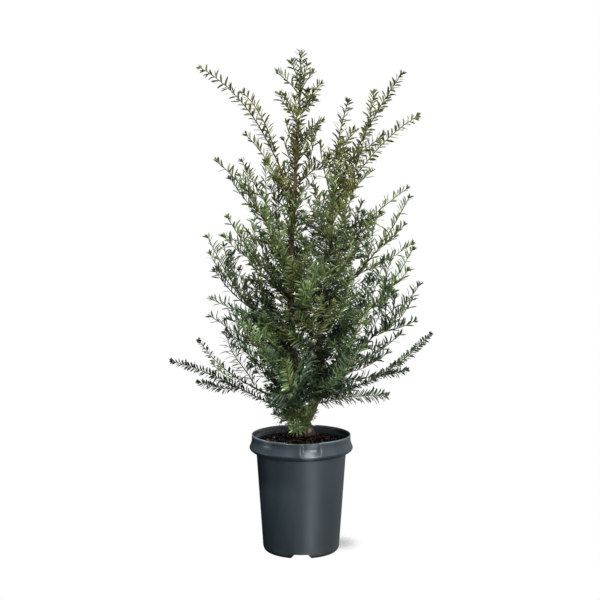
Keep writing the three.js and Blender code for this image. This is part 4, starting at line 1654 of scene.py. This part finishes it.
    def green_shoot(self, plan: Plan, route: Route, stream: SeededStream, bough: Route | None) -> None:
        """Grow a mass of foliage: the source's stem and twigs, and the finer twigs on them.

        Args:
            plan: Its row in the plan.
            route: The way of its green part.
            stream: Its seeded numbers, drawn in the source's order first.
            bough: The whole way with its bare bough, or None.
        """
        hand = -1 if stream.draw() < 0.5 else 1
        spread = stream.spread()
        outward = route.at(1.0) - route.at(0.0)
        side = RIGHT
        if not plan.crossed:
            roll = hand * (self.stem_roll + self.stem_roll_spread * spread)
            side = turned_about(unit(np.cross(outward, UP)), unit(outward), roll)
        look = CHARACTERS.get(plan.name, ORDINARY)
        sun = self.sun_at(route.at(0.6)) if look.sun is None else look.sun
        zone = plan.name.split("_")[0]
        stem = Shoot(route, side, *self.stem_radii, zone, 0, look, sun)
        twigs = self.source_twigs(stem, plan.twigs, stream)
        self.shoots += [stem, *twigs]
        if not look.single:
            self.twigs_along(stem, self.on_stems, stream)
            for twig in twigs:
                if twig.route.length > self.twigged_from:
                    self.twigs_along(twig, self.on_twigs, stream)
        if bough is None:
            return
        if look.single:
            old = Character(Habit.ROUND, look.size * 0.9, 0.75)
            part = bough.part(self.clad_from, plan.wood)
            self.shoots.append(Shoot(part, side, *self.clad_radii, zone, 0, old, sun, clad=True))
            return
        part = bough.part(self.wood_from, plan.wood)
        wood = Shoot(part, side, *self.wood_radii, zone, 0, look, sun * 0.5)
        self.twigs_along(wood, self.on_boughs, stream)

    def source_twigs(self, stem: Shoot, count: int, stream: SeededStream) -> list[Shoot]:
        """Grow the side twigs that the source grows, with the same draws.

        Args:
            stem: What they leave.
            count: How many there are.
            stream: Where the draws come from.

        Returns:
            The twigs.
        """
        pairs = max(2, math.floor(stem.route.length / self.pitch + 0.5))
        twigs = []
        for k in range(count):
            draws = [stream.spread() for _ in range(5)]
            spaces = (k + 0.6 + 0.2 * draws[0]) / (count + 0.5)
            notch = math.floor(pairs * spaces * self.twig_reach + 0.5)
            share = max(1, notch) / pairs
            twigs.append(side_twig(stem, share, 1 if k % 2 else -1, self.twig, draws[1:]))
        return twigs

    def twigs_along(self, stem: Shoot, twigging: Twigging, stream: SeededStream) -> None:
        """Grow fine twigs to each hand in turn along part of a stem.

        Args:
            stem: What they leave.
            twigging: How they stand.
            stream: Where the draws come from.
        """
        share = twigging.stretch[0] + stream.draw() * twigging.step / stem.route.length
        hand = 1
        while share < twigging.stretch[1]:
            draws = [stream.spread() for _ in range(4)]
            rule = twigging.rule
            if twigging.length is not None:
                length = twigging.length * (1 + 0.4 * draws[2])
                rule = replace(rule, shortest=length, longest=length)
            twig = side_twig(stem, share, hand, rule, draws)
            twig.sun = stem.sun + 0.12 * draws[3] - 0.2 * stem.look.shade * (1 - share)
            self.shoots.append(twig)
            hand = -hand
            share += twigging.step * stream.between(*STEP_SPREAD) / stem.route.length

    def sun_at(self, place: Array) -> float:
        """Tell how bright a tone a place gives needles: painted light and shade, and fresher growth up high.

        Args:
            place: The place.

        Returns:
            About 0 low down and 1 at the crown's top.
        """
        high = float(smooth_step(place[2], *self.sun_heights))
        # Painted light: needles in front of the middle are dealt lighter tones.
        front = float(smooth_step(-place[1], 20.0, 150.0) * smooth_step(-abs(place[0]), -190.0, -90.0))
        # Painted shade: needles low down on the right are dealt darker tones.
        right = float(smooth_step(place[0], 30.0, 170.0)) * (1 - high)
        lit = min(self.sun_top * high + self.sun_front * front, self.sun_front_most)
        return max(self.sun_top * high, lit) - self.sun_right * right

    def upper(self, limb_name: str, place: Array) -> tuple[str, float]:
        """Return the zone and the sun of what stands on the upper part of a limb."""
        return ("leader", self.sun_at(place)) if limb_name == "trunk" else ("right", SPRAY_SUN)

    def way_of(self, row: Row) -> tuple[Route, Array]:
        """Draw the way of a shoot from its limb at a height to its own tip.

        Args:
            row: The limb's name, the height, the tip, and how steeply it sets out and ends.

        Returns:
            The route and its level side.
        """
        limb_name, height, tip, rise = row
        limb = self.limbs[limb_name]
        start = limb.route.at(limb.share_at_height(height))
        route = shoot_route(start, np.array(tip, float), rise)
        return route, unit(np.cross(route.at(1.0) - route.at(0.0), UP))

    def sprigs(self) -> None:
        """Grow the short sprigs near the top."""
        for row in SPRIGS:
            route, side = self.way_of(row)
            zone, sun = self.upper(row[0], route.at(0.6))
            sprig = Shoot(route, side, *self.sprig_radii, zone, sun=sun, bare=self.sprig_bare)
            self.shoots.append(sprig)

    def fresh_shoots(self) -> None:
        """Grow the few long fresh shoots that stand out on the front, each with short twigs."""
        stream = SeededStream(self.fresh_seed)
        for row, sun in FRESH_SHOOTS:
            stem = Shoot(*self.way_of(row), *self.fresh_radii, "front", 0, FRESH_LOOK, sun, self.fresh_bare)
            self.shoots.append(stem)
            self.twigs_along(stem, self.on_fresh, stream)

    def skirt(self) -> None:
        """Grow the low leafy shoots that hide the fork, each with its own short twigs."""
        stream = SeededStream(self.skirt_seed)
        for row in SKIRT:
            sun = float(np.interp(row[1], *SKIRT_SUN)) + 0.2 * stream.spread()
            stem = Shoot(*self.way_of(row), *self.skirt_radii, "skirt", 0, SKIRT_LOOK, sun, self.skirt_bare)
            self.shoots.append(stem)
            self.twigs_along(stem, self.on_skirt, stream)

    def clothed_limbs(self) -> None:
        """Set needles straight on the upper trunk and co-leader."""
        for limb_name, low, high, step in CLOTHED:
            limb = self.limbs[limb_name]
            first, last = limb.share_at_height(low), limb.share_at_height(high)
            radii = float(limb.radius_at(first)), float(limb.radius_at(last))
            zone, sun = self.upper(limb_name, limb.route.at(last))
            look = Character(Habit.ROUND, step=step)
            part = limb.route.part(first, last)
            self.shoots.append(Shoot(part, RIGHT, *radii, zone, 0, look, sun, clad=True))

    def inner_shoots(self) -> None:
        """Grow short leafy shoots from the trunk and the co-leader, which fill the crown's inside."""
        stream = SeededStream(self.inner_seed)
        for kind in HEART:
            limb = self.limbs[kind.limb]
            height, turn = kind.low, kind.first_turn
            while height < kind.high:
                turn += GOLDEN_ANGLE + 24 * stream.spread()
                self.inner_shoot(kind, limb.route.at(limb.share_at_height(height)), turn, stream)
                height += kind.step * stream.between(*STEP_SPREAD)

    def inner_shoot(self, kind: InnerShoots, start: Array, turn: float, stream: SeededStream) -> None:
        """Grow one short shoot with its twigs.

        Args:
            kind: Its sort.
            start: Where it leaves its limb.
            turn: Its direction in degrees about the limb.
            stream: Where the draws come from.
        """
        length = stream.between(*self.inner_lengths) * float(np.interp(start[2], *HEART_REACH))
        outward = level(turn + kind.sway * stream.spread())
        tip = start + outward * length * 0.86 + UP * length * kind.lift
        rise = stream.between(-15, 15)
        route = shoot_route(start, tip, (kind.rise[0] + rise, kind.rise[1] + rise * 0.6))
        aim = level(turn)
        side = turned_about(unit(np.cross(aim, UP)), aim, kind.roll * stream.spread())
        sun = 0.8 * self.sun_at(tip) + kind.sun + 0.16 * stream.spread()
        zone = f"heart_{kind.limb}"
        stem = Shoot(route, side, *self.inner_radii, zone, 1, kind.look, sun, self.inner_bare)
        self.shoots.append(stem)
        self.twigs_along(stem, self.on_inner, stream)


# ---------------- needles and twigs


@dataclass
class NeedleSet:
    """Many needles, one row each: root, heading, upper side, size, bend and tone."""

    at: Array
    along: Array
    face: Array
    length: Array
    width: Array
    bend: Array
    tone: Indices

    @classmethod
    def joined(cls, sets: Sequence["NeedleSet"]) -> "NeedleSet":
        """Join several sets into one."""
        return cls(*(np.concatenate([getattr(one, part.name) for one in sets]) for part in fields(cls)))

    def kept(self, keep: NDArray[np.bool_]) -> "NeedleSet":
        """Return the needles that a mask keeps."""
        return NeedleSet(*(getattr(self, part.name)[keep] for part in fields(self)))

    def tips(self) -> Array:
        """Return the places of the tips."""
        return self.at + (self.along + self.bend) * self.length[:, None]


@dataclass(frozen=True)
class NeedleMaker:
    """Sets needles along shoots, and turns them into a mesh in their own outline.

    Lengths are in millimetres and angles in degrees. A needle leaves its stem at lean_root and bends
    away from the stem's tip as it goes. Lengths and steps are those below and above the heights, and
    change smoothly between them. A tuft of shorter needles ends each shoot. A spray keeps close to one tone:
    tone_low in the shade, brighter by tone_gain in full sun, and a few sprays brighter by tone_bright.
    """

    lengths: Span = (22.5, 20.5)
    steps: Span = (3.8, 4.4)
    heights: Span = (520.0, 800.0)
    width: float = 4.3
    widths: Span = (0.85, 1.1)
    spread: float = 0.14
    lean_root: float = 42.0
    lean_spread: float = 6.0
    lean_tip_share: float = 0.55
    lean_tip_reach: float = 24.0
    bend: float = 0.26
    bend_spread: float = 0.10
    twist: float = 0.5
    upright: float = 0.72
    root_share: float = 0.7
    root_reach: float = 0.25
    tip_share: float = 0.62
    tip_reach: float = 0.16
    twig_size: float = 0.88
    tuft_least: int = 5
    tuft_more: int = 4
    tuft_reach: float = 3.0
    tuft_lean: Span = (6.0, 40.0)
    tuft_sizes: Span = (0.7, 1.0)
    tone_low: float = 0.9
    tone_gain: float = 3.9
    tone_spray: float = 0.65
    tone_bright: float = 1.5
    bright_share: float = 0.18
    tone_needle: float = 0.45
    young_from: float = 0.6
    ridge: float = 0.12
    keel: float = 0.07
    stations: tuple[float, ...] = (0.14, 0.5, 0.84)
    half_widths: tuple[float, ...] = (0.30, 0.5, 0.36)

    def growth(self, share: Array) -> Array:
        """Tell how long the needles are along a shoot.

        Args:
            share: Where on the shoot.

        Returns:
            Their length as a share of the longest.
        """
        root = self.root_share + (1 - self.root_share) * np.clip(share / self.root_reach, 0, 1)
        tip = self.tip_share + (1 - self.tip_share) * np.clip((1 - share) / self.tip_reach, 0, 1)
        return np.minimum(root, tip)

    def along(self, shoot: Shoot, rng: np.random.Generator) -> NeedleSet:
        """Set the needles of one shoot.

        Args:
            shoot: What they stand on.
            rng: Where their small differences come from.

        Returns:
            The needles.
        """
        way = shoot.route.length
        high = float(smooth_step(shoot.route.at(0.5)[2], *self.heights))
        step, longest = (low + (top - low) * high for low, top in (self.steps, self.lengths))
        count = max(6, round(way * (1 - shoot.bare) / (step * shoot.look.step)))
        tuft = 0 if shoot.clad else int(self.tuft_least + rng.integers(0, self.tuft_more))
        share = shoot.bare + (1 - shoot.bare) * (np.arange(count) + rng.random(count) * 0.5) / count
        share = np.clip(np.concatenate([share, 1 - rng.random(tuft) * self.tuft_reach / way]), 0, 1)
        total = count + tuft
        at, heading, side, over = shoot.frame_at(share)
        if shoot.look.habit in (Habit.COMBED, Habit.EDGED):
            over = unit(over * (1 - self.upright) + unit(UP - heading * heading[:, 2:]) * self.upright)
            side = np.cross(heading, over)
        around = self.around(shoot.look.habit, total, rng)
        around[count:] = rng.random(tuft) * 2 * math.pi
        out = over * np.cos(around)[:, None] + side * np.sin(around)[:, None]
        lean = self.lean_root + self.lean_spread * rng.normal(0, 1, total)
        near_tip = smooth_step((1 - share) * way, 0.0, self.lean_tip_reach)
        lean = np.radians(lean * (self.lean_tip_share + (1 - self.lean_tip_share) * near_tip))
        lean[count:] = np.radians(rng.uniform(*self.tuft_lean, tuft))
        along = heading * np.cos(lean)[:, None] + out * np.sin(lean)[:, None]
        away = out * np.cos(lean)[:, None] - heading * np.sin(lean)[:, None]
        face = unit(over - along * np.sum(over * along, axis=1, keepdims=True)) * 0.6 - away * 0.4
        face = face + self.twist * rng.normal(0, 1, (total, 3))
        face = unit(face - along * np.sum(face * along, axis=1, keepdims=True))
        grown = self.growth(share) * (1 + self.spread * rng.uniform(-1, 1, total))
        size = longest * grown * shoot.look.size * (self.twig_size if shoot.order > 1 else 1.0)
        size[count:] *= rng.uniform(*self.tuft_sizes, tuft)
        width = self.width * shoot.look.broad * (0.8 + 0.2 * grown) * rng.uniform(*self.widths, total)
        bend = away * (self.bend + self.bend_spread * rng.normal(0, 1, total))[:, None]
        root = at + out * shoot.radius_at(share)[:, None] * 0.6
        return NeedleSet(root, along, face, size, width, bend, self.tones(shoot, share, rng))

    def around(self, habit: Habit, total: int, rng: np.random.Generator) -> Array:
        """Stand needles round their shoot.

        Args:
            habit: How they stand.
            total: How many there are.
            rng: Where their small differences come from.

        Returns:
            The angle of each from the upper side.
        """
        hand = np.where(np.arange(total) % 2, 1.0, -1.0)
        swing = rng.normal(0, 1, total)
        if habit is Habit.FLAT:
            return hand * np.radians(76 + 8 * swing)
        if habit is Habit.COMBED:
            low = np.arange(total) % 9 > 6
            return hand * np.radians(np.where(low, 104, 36) + 12 * swing)
        if habit is Habit.EDGED:
            under = np.arange(total) // 2 % 2 == 1
            return hand * np.radians(np.where(under, 146, 30) + 14 * swing)
        return np.radians(np.arange(total) * GOLDEN_ANGLE + 12 * swing)

    def tones(self, shoot: Shoot, share: Array, rng: np.random.Generator) -> Indices:
        """Deal out the tones of one spray, which keep close to one tone.

        Args:
            shoot: What the needles stand on.
            share: Where on the shoot each stands.
            rng: Where the draws come from.

        Returns:
            The tone of each needle.
        """
        middle = self.tone_low + self.tone_gain * shoot.sun + self.tone_spray * rng.normal()
        middle += self.tone_bright * (rng.random() < self.bright_share)
        middle = middle - shoot.look.shade * (1 - share)
        last = Tone.YOUNG.value if shoot.sun > self.young_from else Tone.FRESH.value
        dealt = np.round(middle + self.tone_needle * rng.normal(0, 1, len(share)))
        return np.clip(dealt, 0, last).astype(int)

    def mesh(self, needles: NeedleSet, pile: MeshPile) -> None:
        """Add needles to a pile: each a flat blade with a ridge above, in its own outline.

        Args:
            needles: The needles.
            pile: What they are added to, its finishes in threes of stalk, upper and under side.
        """
        across = np.cross(needles.along, needles.face)
        reach, width = needles.length[:, None], needles.width[:, None]
        rows = [needles.at[:, None]]
        for share, half in zip((*self.stations, 1.0), (*self.half_widths, 0.0)):
            middle = needles.at + (needles.along * share + needles.bend * share**2) * reach
            if not half:
                rows.append(middle[:, None])
                continue
            top = middle + needles.face * width * self.ridge
            low, wing = middle - needles.face * width * self.keel, across * width * half
            rows.append(np.stack([low - wing, top, low + wing], axis=1))
        corners = np.concatenate(rows, axis=1)
        faces, part = self.faces()
        whole = faces[None] + np.arange(len(corners))[:, None, None] * corners.shape[1]
        finish = needles.tone[:, None] * 3 + part[None]
        pile.add(corners.reshape(-1, 3), whole.reshape(-1, 3), finish.ravel())

    def faces(self) -> tuple[Indices, Indices]:
        """List one needle's triangles.

        Returns:
            The triangles, and for each 0 on the stalk, 1 above and 2 beneath.
        """
        faces, part = [], []
        last = 1 + 3 * len(self.stations)
        for a in range(3):
            b = (a + 1) % 3
            made = [(0, 1 + b, 1 + a)]
            for ring in range(len(self.stations) - 1):
                start = 1 + 3 * ring
                made += [(start + a, start + b, start + b + 3), (start + a, start + b + 3, start + a + 3)]
            made.append((last - 3 + a, last - 3 + b, last))
            faces += made
            part += [0] + [2 if a == 2 else 1] * (len(made) - 1)
        return np.array(faces), np.array(part)


@dataclass
class Foliage:
    """Needles, buds and twigs of the crown, joined by zone and by kind."""

    crown: Crown
    maker: NeedleMaker = NeedleMaker()
    palette: NeedlePalette = NeedlePalette()
    seed: int = 4242
    soil_level: float = 250.5
    rim_height: float = 262.5
    rim_inside: float = 97.0
    bud_length: float = 3.4
    bud_radius: float = 1.15
    box_margin: float = 6.0
    stem_step: float = 7.0
    wobble: float = 0.25
    ages: Span = (0.16, 0.42)

    def clear_of_pot(self, points: Array) -> NDArray[np.bool_]:
        """Return which places are off the compost and the rim."""
        out = np.hypot(points[:, 0], points[:, 1])
        return points[:, 2] >= np.where(out > self.rim_inside, self.rim_height, self.soil_level)

    def needles(self, zone: str, rng: np.random.Generator) -> NeedleSet:
        """Set the needles of a zone, leaving out those that would meet the pot or pass the CAD box.

        Args:
            zone: The zone's name.
            rng: Where their small differences come from.

        Returns:
            The needles.
        """
        sets = [self.maker.along(shoot, rng) for shoot in self.crown.shoots if shoot.zone == zone]
        whole = NeedleSet.joined(sets)
        tips = whole.tips()
        low, high = (np.array(corner) / METRES for corner in CAD_BOX)
        inside = np.all((tips > low - self.box_margin) & (tips < high + self.box_margin), axis=1)
        return whole.kept(self.clear_of_pot(tips) & self.clear_of_pot(whole.at) & inside)

    def twigs(self, zone: str, pile: MeshPile, rng: np.random.Generator) -> None:
        """Add the stems, twigs and buds of a zone.

        Args:
            zone: The zone's name.
            pile: What they are added to.
            rng: Where their small differences come from.
        """
        for shoot in self.crown.shoots:
            if shoot.zone != zone or shoot.clad:
                continue
            steps = max(3, round(shoot.route.length / self.stem_step))
            share = np.linspace(0, 1, steps + 1)
            line = shoot.route.at(share)
            line[1:-1] += rng.normal(0, self.wobble, (steps - 1, 3))
            sides = 6 if shoot.order == 0 else 5
            corners, faces = tube(line, shoot.radius_at(share), sides)
            ring = np.minimum(faces.min(1) // sides, steps - 1)
            pile.add(corners, faces, self.ageing(shoot, (ring + 0.5) / steps))
            self.bud(shoot, pile, rng)

    def ageing(self, shoot: Shoot, share: Array) -> Indices:
        """Return the wood of each part of a shoot: brown, tan, and green towards its tip."""
        age = share if shoot.order == 0 else share * 0.7 + 0.35
        return Wood.BROWN.value - np.digitize(age, self.ages, right=True)

    def bud(self, shoot: Shoot, pile: MeshPile, rng: np.random.Generator) -> None:
        """Add the bud at a shoot's tip.

        Args:
            shoot: The shoot.
            pile: What it is added to.
            rng: Where its size comes from.
        """
        at, along, side, _ = shoot.frame_at(1.0)
        size = rng.uniform(0.7, 1.15)
        reach = np.array([0.0, 0.25, 0.6, 0.85, 1.0]) * self.bud_length * size
        radius = np.array([0.5, 0.95, 1.0, 0.6, 0.1]) * self.bud_radius * size
        pile.add(*tube(at + along * reach[:, None], radius, 5, side), Wood.BUD.value)

    def build(self) -> None:
        """Build a piece of needles and a piece of twigs for each zone."""
        needle_skins = self.palette.materials()
        wood_skins = [WOOD_SKINS[wood].material() for wood in Wood]
        rng = np.random.default_rng(self.seed)
        for zone in sorted({shoot.zone for shoot in self.crown.shoots}):
            nodes = [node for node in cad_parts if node.startswith(f"foliage_{zone}")]
            pile = MeshPile()
            self.maker.mesh(self.needles(zone, rng), pile)
            dress(pile.build(f"needles_{zone}", needle_skins), nodes)
            pile = MeshPile()
            self.twigs(zone, pile, rng)
            dress(pile.build(f"twigs_{zone}", wood_skins, smooth=True))


DEAD_TWIGS: tuple[tuple[tuple[Place, ...], float], ...] = (
    (((4, 26, 284), (-16, 22, 298), (-38, 20, 292), (-51, 22, 270), (-53, 24, 250)), 0.9),
    (((8, 30, 276), (-12, 26, 286), (-30, 22, 280), (-41, 22, 264), (-39, 24, 250)), 0.8),
    (((-1, 22, 302), (-20, 18, 314), (-44, 16, 304), (-55, 18, 276)), 0.8),
    (((-4, 8, 335), (6, -6, 316), (2, -14, 290)), 0.7),
)


@dataclass
class Woodwork:
    """The skins of the trunk, the co-leader and the boughs, and the dead twigs at the foot."""

    crown: Crown
    bark: Bark = Bark()
    seed: int = 12

    def build(self) -> None:
        """Build the three pieces of bark and the dead twigs."""
        noise = SolidNoise(self.seed)
        bark = self.bark.material()
        groups = {
            "trunk_bark": ["trunk"],
            "co_leader_bark": ["co_leader"],
            "bough_bark": [name for name in self.crown.limbs if name.startswith("bough")],
        }
        for name, limbs in groups.items():
            pile = MeshPile()
            for limb in limbs:
                pile.add(*self.crown.limbs[limb].skin(noise), 0)
            dress(pile.build(name, [bark], smooth=True), limbs)
        self.dead_twigs()

    def dead_twigs(self) -> None:
        """Build the bare dead twigs that hang at the trunk's foot."""
        pile = MeshPile()
        for points, radius in DEAD_TWIGS:
            route = Route.through(points)
            steps = max(6, round(route.length / 4))
            share = np.linspace(0, 1, steps)
            pile.add(*tube(route.at(share), radius * (1 - 0.6 * share), 5), 0)
        piece = pile.build("dead_twigs", [WOOD_SKINS[Wood.GREY].material()], smooth=True)
        dress(piece)


# ---------------- studio


@dataclass(frozen=True)
class SoftBox:
    """One soft rectangular light: its place, its aim and its size, and how wide it throws in degrees."""

    name: str
    at: Place
    aim: Place
    size: Span
    power: float
    spread: float
    colour: Colour = (1.0, 1.0, 1.0)


@dataclass(frozen=True)
class SkyLobe:
    """One bright side of the surroundings: where it is, where it starts, and its two strengths."""

    toward: Place
    start: float
    dim: float
    bright: float


@dataclass
class Studio:
    """A pale floor, a sun from above, softboxes, lit surroundings, and the camera.

    Places are in metres, except that the camera's is in millimetres.
    """

    focal: float = 68.28
    sensor: float = 36.0
    camera_at: Place = (-2.6, -2500.0, 756.0)
    tilt_down: float = 4.54
    floor_at: Span = (0.088, 0.038)
    floor_radius: float = 0.085
    floor_sides: int = 96
    floor_fade: Span = (0.006, 0.074)
    floor_squeeze: float = 1.35
    floor_colour: Colour = (0.8, 0.8, 0.8)
    floor_glow: float = 0.12
    sun_aim: Place = (0.14, 0.24, -0.96)
    sun_power: float = 7.0
    sun_softness: float = 5.0
    boxes: tuple[SoftBox, ...] = (
        SoftBox("softbox", (1.05, -2.05, 0.9), (0.0, 0.0, 0.45), (0.5, 1.5), 24.0, 180.0),
        SoftBox("bounce", (0.52, -1.0, -0.42), (0.0, 0.0, 0.05), (0.6, 0.5), 0.28, 40.0, (0.80, 0.92, 1.0)),
        SoftBox("side", (-1.1, -0.10, 0.22), (0.0, 0.0, 0.24), (1.2, 0.3), 0.13, 30.0, (0.85, 0.94, 1.0)),
    )
    lobes: tuple[SkyLobe, ...] = (
        SkyLobe((0.50, -0.62, 0.60), -0.35, 0.0, 1.00),
        SkyLobe((0.60, 0.80, 0.0), 0.6, 0.0, 0.35),
    )

    def build(self) -> None:
        """Set the stage, the lights and the camera."""
        bpy.context.scene.view_settings.view_transform = "Standard"
        self.floor()
        self.sun()
        self.softboxes()
        self.sky()
        self.camera()

    def floor(self) -> None:
        """Lay the pale floor, a small patch that fades out."""
        x, y = self.floor_at
        turns = np.arange(self.floor_sides) * 360 / self.floor_sides
        rim = [np.array([x, y, 0.0]) + level(turn) * self.floor_radius for turn in turns]
        mesh = bpy.data.meshes.new("floor")
        mesh.from_pydata(rim, [], [tuple(range(len(rim)))])
        floor = linked("floor", mesh)
        sheet = FinishSheet("floor_white")
        grain = sheet.noise(sheet.place(), 3.0)
        paler = blend(self.floor_colour, WHITE, 0.05)
        sheet.set(base_color=sheet.mix(grain, self.floor_colour, paler))
        squeezed = sheet.place((self.floor_squeeze, 1.0, 1.0))
        away = sheet.distance(squeezed, (x * self.floor_squeeze, y, 0.0))
        faded = away.ramp(*self.floor_fade)
        sheet.set(alpha=1 - faded * faded * (3 - faded * 2))
        sheet.set(roughness=0.9, emission_color=WHITE, emission_strength=self.floor_glow)
        mesh.materials.append(sheet.material)

    def lamp(self, light: bpy.types.Light, aim: Vector, place: Place = (0.0, 0.0, 0.0)) -> None:
        """Hang a light.

        Args:
            light: The light's data.
            aim: The way it shines.
            place: Where it hangs, in metres.
        """
        lamp = bpy.data.objects.new(light.name, light)
        lamp.location = place
        lamp.rotation_euler = aim.to_track_quat("-Z", "Y").to_euler()
        bpy.context.scene.collection.objects.link(lamp)

    def sun(self) -> None:
        """Hang the broad light from above."""
        light = bpy.data.lights.new("key", "SUN")
        light.energy = self.sun_power
        light.angle = math.radians(self.sun_softness)
        self.lamp(light, Vector(self.sun_aim))

    def softboxes(self) -> None:
        """Hang the softboxes: the tall one to the right, the floor's bounce, and one low on the left."""
        for box in self.boxes:
            light = bpy.data.lights.new(box.name, "AREA")
            light.shape = "RECTANGLE"
            light.size, light.size_y = box.size
            light.energy = box.power
            light.color = box.colour
            light.spread = math.radians(box.spread)
            self.lamp(light, Vector(box.aim) - Vector(box.at), box.at)

    def sky(self) -> None:
        """Light the surroundings: white to the camera, and for the plant as bright as its lobes."""
        world = bpy.data.worlds.new("studio")
        bpy.context.scene.world = world
        world.use_nodes = True
        sheet = NodeSheet(world.node_tree)
        glows = [self.glow(sheet, lobe) for lobe in self.lobes]
        sockets = {"Color": WHITE, "Strength": sum(glows[1:], glows[0])}
        lighting = sheet.node("ShaderNodeBackground", {}, sockets)["Background"]
        seen = sheet.node("ShaderNodeBackground", {}, {"Color": WHITE})["Background"]
        rays = sheet.node("ShaderNodeLightPath", {}, {})["Is Camera Ray"]
        pick = sheet.node("ShaderNodeMixShader", {}, {0: rays, 1: lighting, 2: seen})["Shader"]
        sheet.node("ShaderNodeOutputWorld", {}, {"Surface": pick})

    def glow(self, sheet: NodeSheet, lobe: SkyLobe) -> Signal:
        """Work out how bright one lobe makes the surroundings.

        Args:
            sheet: The nodes of the surroundings.
            lobe: The lobe.

        Returns:
            Its strength in each direction.
        """
        toward = sheet.node("ShaderNodeTexCoord", {}, {})["Generated"]
        facing = {0: toward, 1: Vector(lobe.toward).normalized()}
        value = sheet.node("ShaderNodeVectorMath", {"operation": "DOT_PRODUCT"}, facing)["Value"]
        limits = {"Value": value, "From Min": lobe.start, "To Min": lobe.dim, "To Max": lobe.bright}
        return sheet.node("ShaderNodeMapRange", {}, limits)["Result"]

    def camera(self) -> None:
        """Place the camera."""
        lens = bpy.data.cameras.new("camera")
        lens.lens = self.focal
        lens.sensor_width = self.sensor
        lens.clip_end = 200.0
        camera = bpy.data.objects.new("camera", lens)
        camera.location = Vector(self.camera_at) * METRES
        camera.rotation_euler = (math.radians(90 - self.tilt_down), 0.0, 0.0)
        bpy.context.scene.collection.objects.link(camera)
        bpy.context.scene.camera = camera


# ---------------- the scene


def main() -> None:
    """Build the studio, the pot, the compost and the plant."""
    logging.basicConfig(level=logging.INFO, format="%(name)s: %(message)s")
    Studio().build()
    Pot().build()
    Compost().build()
    crown = Crown()
    crown.grow()
    LOG.info("%d shoots, %.1f m of them", len(crown.shoots), sum(s.route.length for s in crown.shoots) / 1000)
    Woodwork(crown).build()
    Foliage(crown).build()


if __name__ == "__main__":
    main()
